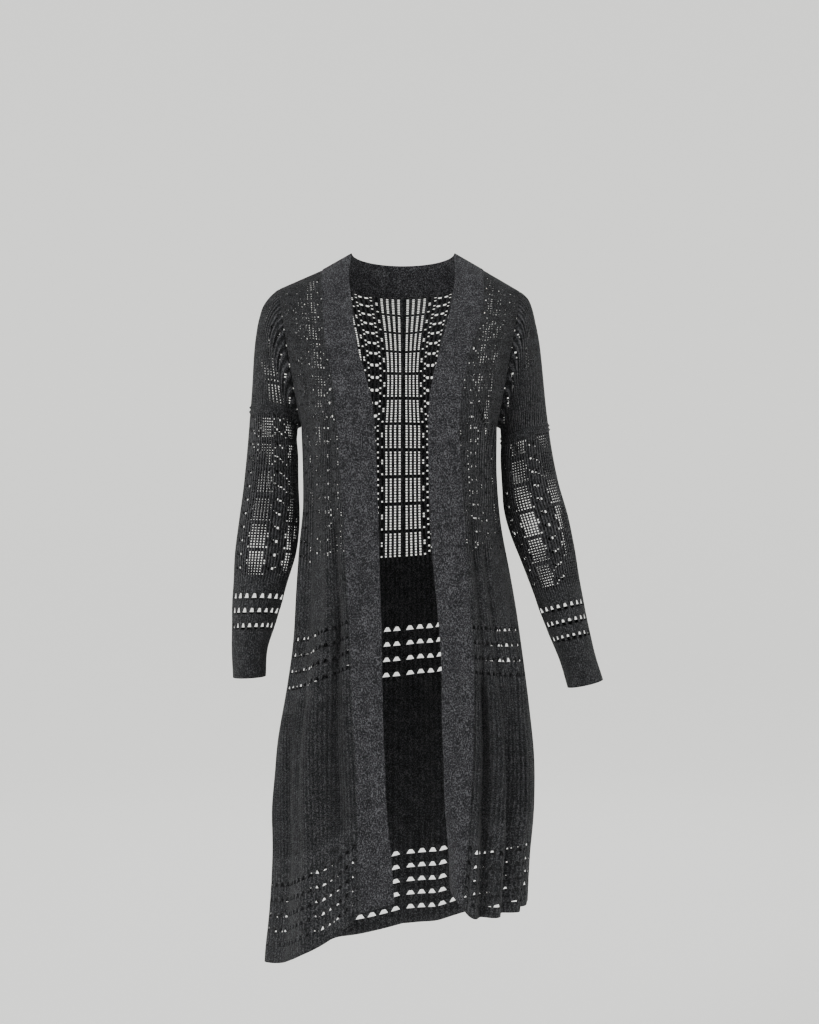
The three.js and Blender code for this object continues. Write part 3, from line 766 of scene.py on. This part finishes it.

# %% [markdown]
# ## Yarn
# The yarn is a fine viscose and wool melange, knitted plain between the openings. What the eye gets from
# it is a charcoal that is never one tone: light and dark fibres make a grain of a millimetre or two, and the
# soft fuzz keeps it matt. The colour mixes three greys by two sizes of noise, and the bump is the V of the
# stitches, drawn at 2.2 and 2.4 mm, because the true 1.4 mm gauge is finer than the render can show. The
# valleys between the wales are in the bump, and in the colour as painted shade, with the bars painted
# lighter.


# %% Colours and nodes
def linear(hex_colour):
    """Linear RGBA of an sRGB hex colour."""
    c = np.array([int(hex_colour[i:i + 2], 16) for i in (1, 3, 5)]) / 255
    return (*np.where(c <= 0.04045, c / 12.92, ((c + 0.055) / 1.055) ** 2.4), 1.0)


def add(tree, kind, settings=None, **inputs):
    """Adds a node, sets its properties, and sets or links its inputs by name, with spaces as underscores, or
    by number after an underscore."""
    node = tree.nodes.new("ShaderNode" + kind)
    for key, value in (settings or {}).items():
        setattr(node, key, value)
    for key, value in inputs.items():
        socket = node.inputs[int(key[1:])] if key[0] == "_" else node.inputs[key.replace("_", " ")]
        if isinstance(value, bpy.types.NodeSocket):
            tree.links.new(value, socket)
        else:
            socket.default_value = value
    return node


MULTIPLY = {"operation": "MULTIPLY"}
SCALE_AND_ADD = {"operation": "MULTIPLY_ADD"}
print("charcoal in linear light:", np.round(linear("#1F2022"), 4))

# %% Yarn
GRAIN_PER_M = 620.0  # flecks of about 1.6 mm
CLOUD_PER_M = 70.0  # patches of about 14 mm
CLOUD_SHARE = 0.16  # how much the patches shift the tone, beside the flecks
PAINTED_VALLEY_SHADE = 0.09  # painted shade: darker in the valleys between wales and lighter on the bars' tops
DARK_AT, MIDDLE_AT, LIGHT_AT = 0.44, 0.58, 0.74  # where the three greys lie on the mixed noise
SLANT = 1.3  # how steep the legs of a stitch's V are
STITCH, VALLEY, FUZZ = 0.4, 2.4, 0.9  # heights of the bump's parts, beside a rib of 1


def melange_knit(name, dark, middle, light, stitch_mm, relief, ribs):
    """Matt melange knit: three greys mixed by noise, and stitches as bump in the cloth's own UV, which is in
    metres across and along the piece. ribs is how deep the valley at each wale is, beside the stitches, and
    how strongly the colour has painted shade in the valleys and painted light on the bars."""
    material = bpy.data.materials.new(name)
    material.use_nodes = True
    tree = material.node_tree
    shader = tree.nodes["Principled BSDF"]
    uv = add(tree, "UVMap", {"uv_map": "cloth"}).outputs["UV"]
    wales = add(tree, "UVMap", {"uv_map": "wales"}).outputs["UV"]
    where = add(tree, "TexCoord").outputs["Object"]
    streaks = add(tree, "Mapping", Vector=where, Scale=(1.0, 1.0, 0.75))
    grain = add(tree, "TexNoise", Vector=streaks.outputs[0], Scale=GRAIN_PER_M, Detail=2.5, Roughness=0.75)
    cloud = add(tree, "TexNoise", Vector=where, Scale=CLOUD_PER_M, Detail=2.0)
    wale = add(tree, "SeparateXYZ", Vector=wales).outputs
    turned = add(tree, "Math", MULTIPLY, _0=wale["X"], _1=2 * np.pi)
    wave = add(tree, "Math", {"operation": "COSINE"}, _0=turned.outputs[0])
    valley = add(tree, "Math", MULTIPLY, _0=wave.outputs[0], _1=wale["Y"])
    mixed = add(tree, "Math", SCALE_AND_ADD,
                _0=cloud.outputs["Fac"], _1=CLOUD_SHARE, _2=grain.outputs["Fac"])
    # painted shade in the colour: the tone goes darker in the valleys between wales and lighter on the bars
    tone_with_painted_shade = add(tree, "Math", SCALE_AND_ADD,
                 _0=valley.outputs[0], _1=PAINTED_VALLEY_SHADE * ribs, _2=mixed.outputs[0])
    ramp = add(tree, "ValToRGB", Fac=tone_with_painted_shade.outputs[0])
    stops = ramp.color_ramp.elements
    stops[0].position, stops[0].color = DARK_AT, linear(dark)
    stops[1].position, stops[1].color = LIGHT_AT, linear(light)
    stops.new(MIDDLE_AT).color = linear(middle)
    tree.links.new(ramp.outputs["Color"], shader.inputs["Base Color"])

    turns = 2 * np.pi / (stitch_mm * MM)
    scaled = add(tree, "VectorMath", {"operation": "SCALE"}, _0=uv)
    scaled.inputs["Scale"].default_value = turns
    split = add(tree, "SeparateXYZ", Vector=scaled.outputs[0])
    across = add(tree, "Math", {"operation": "COSINE"}, _0=split.outputs["X"])
    slant = add(tree, "Math", SCALE_AND_ADD,
                _0=across.outputs[0], _1=SLANT, _2=split.outputs["Y"])
    along = add(tree, "Math", {"operation": "SINE"}, _0=slant.outputs[0])
    rib = add(tree, "Math", {"operation": "ABSOLUTE"}, _0=across.outputs[0])
    stitch = add(tree, "Math", SCALE_AND_ADD,
                 _0=along.outputs[0], _1=STITCH, _2=rib.outputs[0])
    ribbed = add(tree, "Math", SCALE_AND_ADD,
                 _0=valley.outputs[0], _1=VALLEY * ribs, _2=stitch.outputs[0])
    fuzz = add(tree, "Math", SCALE_AND_ADD,
               _0=grain.outputs["Fac"], _1=FUZZ, _2=ribbed.outputs[0])
    bump = add(tree, "Bump", Height=fuzz.outputs[0], Strength=0.8, Distance=relief * MM)
    tree.links.new(bump.outputs["Normal"], shader.inputs["Normal"])
    shader.inputs["Roughness"].default_value = 0.95
    shader.inputs["Specular IOR Level"].default_value = 0.12
    shader.inputs["Sheen Weight"].default_value = 0.04
    shader.inputs["Sheen Roughness"].default_value = 0.6
    return material


LACE_YARN = melange_knit("melange_pointelle_knit", "#0D0E10", "#1F2022", "#4D4D50", 2.2, 0.5, 1.0)
BAND_YARN = melange_knit("melange_firm_band_knit", "#0E0E11", "#27272A", "#5E5E62", 2.4, 0.6, 0.0)
print("yarns:", LACE_YARN.name, "and", BAND_YARN.name)

# %% [markdown]
# ## Fronts and back
# The knit changes as it goes up: a plain hem, five rows of keyholes, a fine mesh, four more rows of keyholes
# over the hip, and from the waist up the ladders with their crosses. The heights are levels of the tables.
# Each front has its own, because the garment hangs a little lower on one side, and the back keeps those of
# the right front, so that its courses are level for level the same from side to side.

# %% Courses of the body
PANEL_HALF = 0.5  # half the thickness of the lace knit, mm
BAND_HALF = 1.1  # the same of the band
COURSE_PITCH = {  # height of a course, mm
    "plain": 10.0, "ladder": 4.0, "mesh": 3.4, "keyhole": 8.5,
}
BACK_PITCH = {**COURSE_PITCH, "plain": 12.0, "ladder": 4.2, "mesh": 8.0}
BODY_KEYHOLE = (4, 3)  # columns in a repeat, and how many of them are open
KEYHOLE_LEVELS = table("right left", [
    (0.34, 0.27), (0.62, 0.48), (0.89, 0.72), (1.17, 1.00), (1.45, 1.30),
    (5.06, 4.82), (5.37, 5.13), (5.68, 5.45), (5.98, 5.77)])
MESH_FROM, MESH_TO = 1.92, 4.57
LADDERS_FROM = {"right": 7.40, "left": 7.30}
HIP_ROWS = 4  # the upper group of keyhole rows
LEVEL_SAMPLES = 721


def level_lengths(side):
    """Levels, and the length of the cloth below each, measured up the middle of a front."""
    levels = np.linspace(0, SHOULDER, LEVEL_SAMPLES)
    points = front_surface(side, levels, np.full(len(levels), 0.5))
    return levels, np.append(0, np.cumsum(np.linalg.norm(np.diff(points, axis=0), axis=1)))


def body_zones(key, lengths, size):
    """The body's plan of zones, as lengths of cloth above the hem. size is the height of a keyhole row."""
    at = lambda level: np.interp(level, *lengths)
    hem, hip = np.split(KEYHOLE_LEVELS[key], [-HIP_ROWS])
    return [*keyhole_zones(at(hem), size), ("plain", at(MESH_FROM)), ("mesh", at(MESH_TO)),
            *keyhole_zones(at(hip), size), ("plain", at(LADDERS_FROM[key])), ("ladder", at(SHOULDER))]


def body_rows(key, side, pitch):
    """Levels of the row edges on one side of the body, and what each row is."""
    levels, lengths = level_lengths(side)
    zones = body_zones(key, (levels, lengths), pitch["keyhole"])
    edges, kinds, patterns, numbers = course_rows(zones, pitch)
    return np.interp(edges, lengths, levels), edges, kinds, patterns, numbers


print("length of the right front, mm:", level_lengths(RIGHT)[1][-1].round(1))

# %% Fronts
FRONT_WALES = 38
UNDER_BAND = 0.005  # how far the front runs in under the band, as a share of its width
RIPPLE_PHASES = {"front_right": 0.4, "front_left": 2.1, "back_right": 1.3, "back_left": 3.4}


def make_front(side):
    key = "right" if side == RIGHT else "left"
    name = "front_" + key
    levels, heights, kinds, patterns, numbers = body_rows(key, side, COURSE_PITCH)
    across = -UNDER_BAND + (1 + UNDER_BAND) * wale_columns(FRONT_WALES)
    level, u = np.meshgrid(levels, across, indexing="ij")
    u = shape_holes(u, kinds, patterns, numbers, 0, BODY_KEYHOLE, False)
    base = lambda v, w: front_surface(side, v, w)
    surface = draped(base, name, side, False, RIPPLE_PHASES[name])
    points = surface(level, u)
    normals = side * normals_of(surface, level, u, *FINE_STEP)
    is_open = openings(len(across) - 1, kinds, patterns, numbers, 0, BODY_KEYHOLE)
    width, length, area = flat_cut(points)
    uv = cloth_layer(u * width, heights)
    wales = wale_layer(wale_count(len(across)), patterns, u.shape)
    if side == RIGHT:  # columns run towards the side seam, so the faces turn over on this side
        points, normals, uv, wales, is_open = (x[:, ::-1] for x in (points, normals, uv, wales, is_open))
    piece = knit_wall("knit_" + name, points, normals, is_open, PANEL_HALF, False, uv, wales)
    settle(piece, name, LACE_YARN)
    return piece


front_right = make_front(RIGHT)
front_left = make_front(LEFT)

# %% Back
BACK_WALES = 33  # in each half
BACK_BAR = 0.6  # share of a wale that is cloth
BACK_FIRST = 8  # place in the repeat of the wale beside the centre


def make_back():
    levels, heights, kinds, patterns, numbers = body_rows("right", RIGHT, BACK_PITCH)
    across = wale_columns(BACK_WALES, BACK_BAR)
    halves = []
    for side, name in ((RIGHT, "back_right"), (LEFT, "back_left")):
        level, u = np.meshgrid(levels, across, indexing="ij")
        u = shape_holes(u, kinds, patterns, numbers, BACK_FIRST, BODY_KEYHOLE, False)
        base = lambda v, w, s=side: back_surface(s, v, w)
        surface = draped(base, name, -side, True, RIPPLE_PHASES[name])
        points = surface(level, u)
        normals = -side * normals_of(surface, level, u, *FINE_STEP)
        halves.append((points, normals, u))
    (pr, nr, ur), (pl, nl, ul) = halves
    centre = (pr[:, :1] + pl[:, :1]) / 2
    middle = nr[:, :1] + nl[:, :1]
    middle /= np.linalg.norm(middle, axis=-1, keepdims=True)
    points = np.hstack([pl[:, :0:-1], centre, pr[:, 1:]])
    normals = np.hstack([nl[:, :0:-1], middle, nr[:, 1:]])
    width, length, area = flat_cut(points)
    half = openings(len(across) - 1, kinds, patterns, numbers, BACK_FIRST, BODY_KEYHOLE)
    half &= (patterns != "mesh")[:, None]  # the mesh is too fine to open on this coarser grid
    is_open = np.hstack([half[:, ::-1], half])
    u = np.hstack([-ul[:, :0:-1], ur[:, :1] * 0, ur[:, 1:]])
    uv = cloth_layer(u * width / 2, heights)
    count = wale_count(len(across))
    wales = wale_layer(np.append(-count[:0:-1], count), patterns, u.shape)
    piece = knit_wall("knit_back", points, normals, is_open, PANEL_HALF, False, uv, wales)
    settle(piece, "back", LACE_YARN)
    return piece


back = make_back()

# %% [markdown]
# ## Sleeves
# A set-in sleeve is knitted from the cuff up, so its courses go straight round the arm and simply stop at
# the armhole. Each column of the grid is measured from the cuff along the cloth, and a course lies at one
# height on all of them. Where a course would run past the armhole its cells have no size, and they are
# left out. A double ridge goes round below the cap, and three rows of large keyholes above the cuff.

# %% Sleeve measures
SLEEVE_WALES = 60
SLEEVE_BAR = 0.42  # share of a wale that is cloth
SLEEVE_START = 5.5  # degrees from the outer line of the arm to the first wale
SLEEVE_SAMPLES = 481
CAP_RINGS, CAP_EVEN = 7.5, 0.25  # see wale_turn
CAP_ROOM, UNDERARM_ROOM = 0.05, 1.2  # mm, from the armhole to the edge of the sleeve
CAP_REACH = 0.12  # rings below the armhole that are pulled in and have no openings
RIDGE_HEIGHT, RIDGE_HALF, RIDGE_APART = 2.2, 1.5, 6.5  # mm
RIDGE_ROOM = 4  # mm of closed cloth below and above the two ridges
RIDGE_FADE = 0.3  # rings over which a ridge fades out towards the armhole
SLEEVE_BARE_STEP = (0.02, 0.5)  # rings and degrees over which the bare sleeve's slope is taken
SLEEVE_FINE_STEP = (0.01, 0.3)  # the same on the creased sleeve
KEYHOLE_HEIGHT = 12.0
SLEEVE_KEYHOLE = (6, 4)  # columns in a repeat, and how many of them are open
SLEEVE_ZONES = {  # heights above the cuff's edge, mm, and the place of the first wale in the repeat
    RIGHT: {"keyholes": (77, 100, 122), "ladders": 152, "ridge": 399, "first": 10},
    LEFT: {"keyholes": (75, 98, 121), "ladders": 150, "ridge": 383, "first": 3},
}
SLEEVE_PITCH = {"plain": 9.0, "ladder": 4.1, "keyhole": KEYHOLE_HEIGHT, "ridge": 1.3}
print("wales round a sleeve:", SLEEVE_WALES)


# %% Sleeve surface
def sleeve_base(side, r, turn):
    """Bare sleeve: its rings, with the first one standing off the armhole, and more so at the underarm."""
    rings = SLEEVES[side]
    p = ring_point(rings, r, turn)
    slope = np.array([rings["outX"][0] - rings["inX"][0], 0, rings["outZ"][0] - rings["inZ"][0]])
    slope /= np.linalg.norm(slope)
    away = side * np.array([slope[2], 0, -slope[0]])
    low = (1 - np.cos(np.radians(turn))) / 2
    room = (CAP_ROOM + UNDERARM_ROOM * low) * np.clip(1 - r, 0, 1)
    return p + away * room[..., None]


def sleeve_folds(r, turn):
    """Sum of the sleeve's folds, each its depth times a bell round the arm, faded at both ends."""
    height = np.zeros(np.broadcast(r, turn).shape)
    for start, end, at, drift, half, depth in zip(*SLEEVE_FOLDS.values()):
        t = np.clip((r - start) / (end - start), 0, 1)
        ends = smooth((r - start) / SLEEVE_FOLD_END) * smooth((end - r) / SLEEVE_FOLD_END)
        apart = np.abs((turn - at - drift * t + 540) % 360 - 180)
        height += depth * ends * np.exp(-((apart / half) ** 2))
    return height


def wale_turn(r, turn):
    """Turn of a wale at ring r. Below the cap it is constant. In the cap the wales run straight on up, so
    they lean towards the shoulder point: the share x of a half turn becomes CAP_EVEN x + (1 - CAP_EVEN) x^3
    at the armhole."""
    x = ((turn + 180) % 360 - 180) / 180
    lean = 180 * (1 - CAP_EVEN) * (x**3 - x)
    return turn + lean * smooth(1 - r / CAP_RINGS)


def sleeve_surface(side, r, turn):
    """The bare sleeve moved outwards by its folds and a slack of half a millimetre that winds round the arm
    three times, and inwards at the armhole."""
    bare = lambda a, b: sleeve_base(side, a, b)
    n = side * normals_of(bare, r, turn, *SLEEVE_BARE_STEP)
    last = len(SLEEVES[side]["depth"]) - 1
    out = -sleeve_folds(r, turn) - SEAM_DIP * np.exp(-((r / CAP_REACH) ** 2))
    out = out + 0.5 * np.sin(np.radians(3 * turn) + 1.7 * r) * smooth(r / 3) * smooth((last - r) / 2)
    return bare(r, turn) + n * out[..., None]


def sleeve_zones(plan, longest):
    """The sleeve's plan of zones, as heights above the cuff's edge."""
    return [*keyhole_zones(plan["keyholes"], KEYHOLE_HEIGHT), ("plain", plan["ladders"]),
            ("ladder", plan["ridge"] - RIDGE_ROOM), ("ridge", plan["ridge"] + RIDGE_APART + RIDGE_ROOM),
            ("ladder", longest + 1)]


cuff = sleeve_surface(RIGHT, np.full(2, 16.0), np.array([0.0, 180.0]))
print("right cuff, from side to side, mm:", np.linalg.norm(cuff[0] - cuff[1]).round(1))


# %% Sleeves
def make_sleeve(side):
    key = "right" if side == RIGHT else "left"
    shares = wale_columns(SLEEVE_WALES, SLEEVE_BAR)[:2 * SLEEVE_WALES]
    turns = SLEEVE_START + shares * (SLEEVE_WALES + SLEEVE_BAR) / SLEEVE_WALES * 360
    ring = np.linspace(len(SLEEVES[side]["depth"]) - 1, 0, SLEEVE_SAMPLES)
    rings, wale_turns = np.meshgrid(ring, turns, indexing="ij")
    fine = sleeve_base(side, rings, wale_turn(rings, wale_turns))
    climbed = np.vstack([np.zeros(len(turns)),
                         np.cumsum(np.linalg.norm(np.diff(fine, axis=0), axis=2), axis=0)])
    plan = SLEEVE_ZONES[side]
    zones = sleeve_zones(plan, climbed[-1].max())
    heights, kinds, patterns, numbers = course_rows(zones, SLEEVE_PITCH)
    r = np.stack([np.interp(heights, climbed[:, j], ring) for j in range(len(turns))], axis=1)
    turn = np.broadcast_to(turns, r.shape).copy()
    turn = shape_holes(turn, kinds, patterns, numbers, plan["first"], SLEEVE_KEYHOLE, True)
    led = wale_turn(r, turn)
    surface = lambda v, w: sleeve_surface(side, v, w)
    points = surface(r, led)
    normals = -side * normals_of(surface, r, led, *SLEEVE_FINE_STEP)  # into the sleeve, as its columns run
    above = heights[:, None] - plan["ridge"]
    bump = sum(np.exp(-(((above - k * RIDGE_APART) / RIDGE_HALF) ** 2)) for k in (0, 1))
    points = points - normals * (RIDGE_HEIGHT * bump * smooth(r / RIDGE_FADE))[..., None]
    columns = len(turns)
    low = openings(columns, kinds, patterns, numbers, plan["first"], SLEEVE_KEYHOLE, wraps=True)
    cap = openings(columns, kinds, patterns, numbers, plan["first"], SLEEVE_KEYHOLE, True, True)
    is_open = np.where((heights[:-1] > plan["ridge"])[:, None], cap, low)
    at_top = r <= 1e-6
    gone = at_top & np.roll(at_top, -1, axis=1)
    gone = gone[:-1] & gone[1:]
    near_top = (r < CAP_REACH) | (np.roll(r, -1, axis=1) < CAP_REACH)
    is_open = (is_open & ~(near_top[1:] | near_top[:-1])) | gone
    below = heights < climbed[-1].min()  # rows that go all the way round
    width = flat_cut(points[below], True)[0]
    uv = cloth_layer(turn / 360 * width, heights)
    wales = wale_layer(wale_count(columns), patterns, turn.shape)
    if side == RIGHT:  # the columns run the other way round, so the faces turn over on this side
        points, normals, uv, wales = (np.roll(x[:, ::-1], 1, axis=1) for x in (points, normals, uv, wales))
        is_open = is_open[:, ::-1]
    piece = knit_wall("knit_sleeve_" + key, points, normals, is_open, PANEL_HALF, True, uv, wales)
    settle(piece, "sleeve_" + key, LACE_YARN)
    return piece


sleeve_right = make_sleeve(RIGHT)
sleeve_left = make_sleeve(LEFT)

# %% [markdown]
# ## Band
# The band is a firm, plain strip about 50 mm wide, sewn on flat and pressed, so it lies over the front like
# a soft lapel. Its long edges are crisp but not sharp. The grid is dense along it, and its thickness falls
# away over the last two millimetres at both edges.

# %% Band lines
BAND_BEND = 0.45  # share of the band's width at which its curve is steered
LAPEL_FROM, LAPEL_LEVELS = 15.5, 2.5  # levels over which the band comes to leave its seam front to back too
BAND_STEPS = 200  # rows along each front
NECK_STEPS = 36  # rows along each half of the neck
BAND_ACROSS = np.array([0, 0.012, 0.035, 0.12, 0.25, 0.4, 0.55, 0.7, 0.85, 0.965, 0.988, 1])
BAND_THICK = np.array([0.35, 0.75, 1, 1, 1, 1, 1, 1, 1, 1, 0.75, 0.35])


def band_lines():
    """Seam line, free edge and the share of y in the direction that the band leaves the seam."""
    level = np.linspace(0, SHOULDER, BAND_STEPS + 1)
    lines = []
    for side in (RIGHT, LEFT):
        share = smooth((level - LAPEL_FROM) / LAPEL_LEVELS)
        lines.append((front_line(side, "seam", level), front_line(side, "edge", level), share))
    t = np.linspace(1, 0, NECK_STEPS + 1)[1:]
    neck = [(neck_seam(side, t), neck_edge(side, t), np.ones(len(t))) for side in (RIGHT, LEFT)]
    turned = [x[::-1] for x in neck[1]]
    return [np.concatenate([lines[0][k], neck[0][k], turned[k][1:], lines[1][k][::-1]]) for k in range(3)]


print("rows along the band:", len(band_lines()[0]))


# %% Band
def make_band():
    seam, edge, share = band_lines()
    leaving = edge - seam
    leaving[:, 1] *= share
    leaving /= np.linalg.norm(leaving, axis=1, keepdims=True)
    width = np.linalg.norm(edge - seam, axis=1, keepdims=True)
    start = seam + leaving * SEAM_GAP / 2
    control = seam + leaving * width * BAND_BEND
    t = BAND_ACROSS[None, :, None]
    points = start[:, None] * (1 - t) ** 2 + control[:, None] * 2 * t * (1 - t) + edge[:, None] * t**2
    along = np.gradient(points, axis=0)
    over = np.gradient(points, axis=1)
    normals = np.cross(along, over)
    normals /= np.linalg.norm(normals, axis=-1, keepdims=True)
    run = np.append(0, np.cumsum(np.linalg.norm(np.diff(seam, axis=0), axis=1)))
    uv = cloth_layer(width * BAND_ACROSS * MM, run)
    whole = np.zeros((points.shape[0] - 1, points.shape[1] - 1), bool)
    points, normals, uv = (x[:, ::-1] for x in (points, normals, uv))
    piece = knit_wall("knit_band", points, -normals, whole, BAND_HALF * BAND_THICK, False, uv, uv)
    settle(piece, "band", BAND_YARN)
    return piece


band = make_band()

# %% [markdown]
# ## Studio
# A pale floor curves up into a pale wall all round, so that every view has the same plain ground. The light
# is one large soft source in front and above to the left, a weaker one to the right, one behind, and a
# little from all round, which keeps the dark yarn readable and the folds soft.

# %% Cove
FLOOR_Z, STUDIO_RADIUS, COVE, WALL_TOP = -1.45, 6.0, 1.6, 6.0  # metres
FLOOR_START = 0.0005  # the floor starts this far from its centre, so that no face is a sliver
curve = [(STUDIO_RADIUS - COVE + COVE * np.sin(turn), FLOOR_Z + COVE * (1 - np.cos(turn)))
         for turn in np.linspace(0, np.pi / 2, 17)]
profile = np.array([(FLOOR_START, FLOOR_Z)] + curve + [(STUDIO_RADIUS, WALL_TOP)])
around = np.linspace(0, 2 * np.pi, 97)[:-1]
ring_xyz = np.stack([profile[:, :1] * np.cos(around), profile[:, :1] * np.sin(around),
                     np.broadcast_to(profile[:, 1:], (len(profile), len(around)))], axis=-1)
index = np.arange(ring_xyz.shape[0] * ring_xyz.shape[1]).reshape(ring_xyz.shape[:2])
onward = np.roll(index, -1, axis=1)
cove_faces = np.stack([index[:-1], onward[:-1], onward[1:], index[1:]], axis=-1).reshape(-1, 4)
cove_mesh = bpy.data.meshes.new("studio_cove")
cove_mesh.from_pydata(ring_xyz.reshape(-1, 3).tolist(), [], cove_faces.tolist())
cove_mesh.polygons.foreach_set("use_smooth", np.ones(len(cove_faces), bool))
cove = bpy.data.objects.new("studio_cove", cove_mesh)
bpy.context.collection.objects.link(cove)
print("cove:", len(cove_faces), "faces")

# %% Paint, daylight and lights
paint = bpy.data.materials.new("matt_white_paint")
paint.use_nodes = True
finish = paint.node_tree.nodes["Principled BSDF"].inputs
finish["Base Color"].default_value = linear("#D8D8D6")
finish["Roughness"].default_value = 0.9
finish["Emission Color"].default_value = linear("#F2F2F0")
finish["Emission Strength"].default_value = 0.46
cove_mesh.materials.append(paint)

world = bpy.data.worlds.new("soft_daylight")
world.use_nodes = True
sky = world.node_tree.nodes["Background"].inputs
sky["Color"].default_value = linear("#F4F5F6")
sky["Strength"].default_value = 0.9
bpy.context.scene.world = world
CHEST = np.array([0.0, 0.0, -0.4])


def soft_light(name, place, size, power):
    """A square soft light, size metres wide and power watts, that faces the chest."""
    lamp = bpy.data.lights.new(name, "AREA")
    lamp.energy, lamp.size = power, size
    holder = bpy.data.objects.new(name, lamp)
    holder.location = place
    away = CHEST - np.array(place)
    holder.rotation_euler = (float(np.arctan2(np.hypot(away[0], away[1]), -away[2])), 0,
                             float(np.arctan2(-away[0], away[1])))
    bpy.context.collection.objects.link(holder)
    print(f"{name} light: {power} W over {size} m")


soft_light("key", (-2.9, -2.7, 2.2), 1.5, 105)
soft_light("fill", (2.6, -3.0, 0.6), 2.4, 20)
soft_light("rear", (0.5, 3.6, 1.8), 2.4, 45)
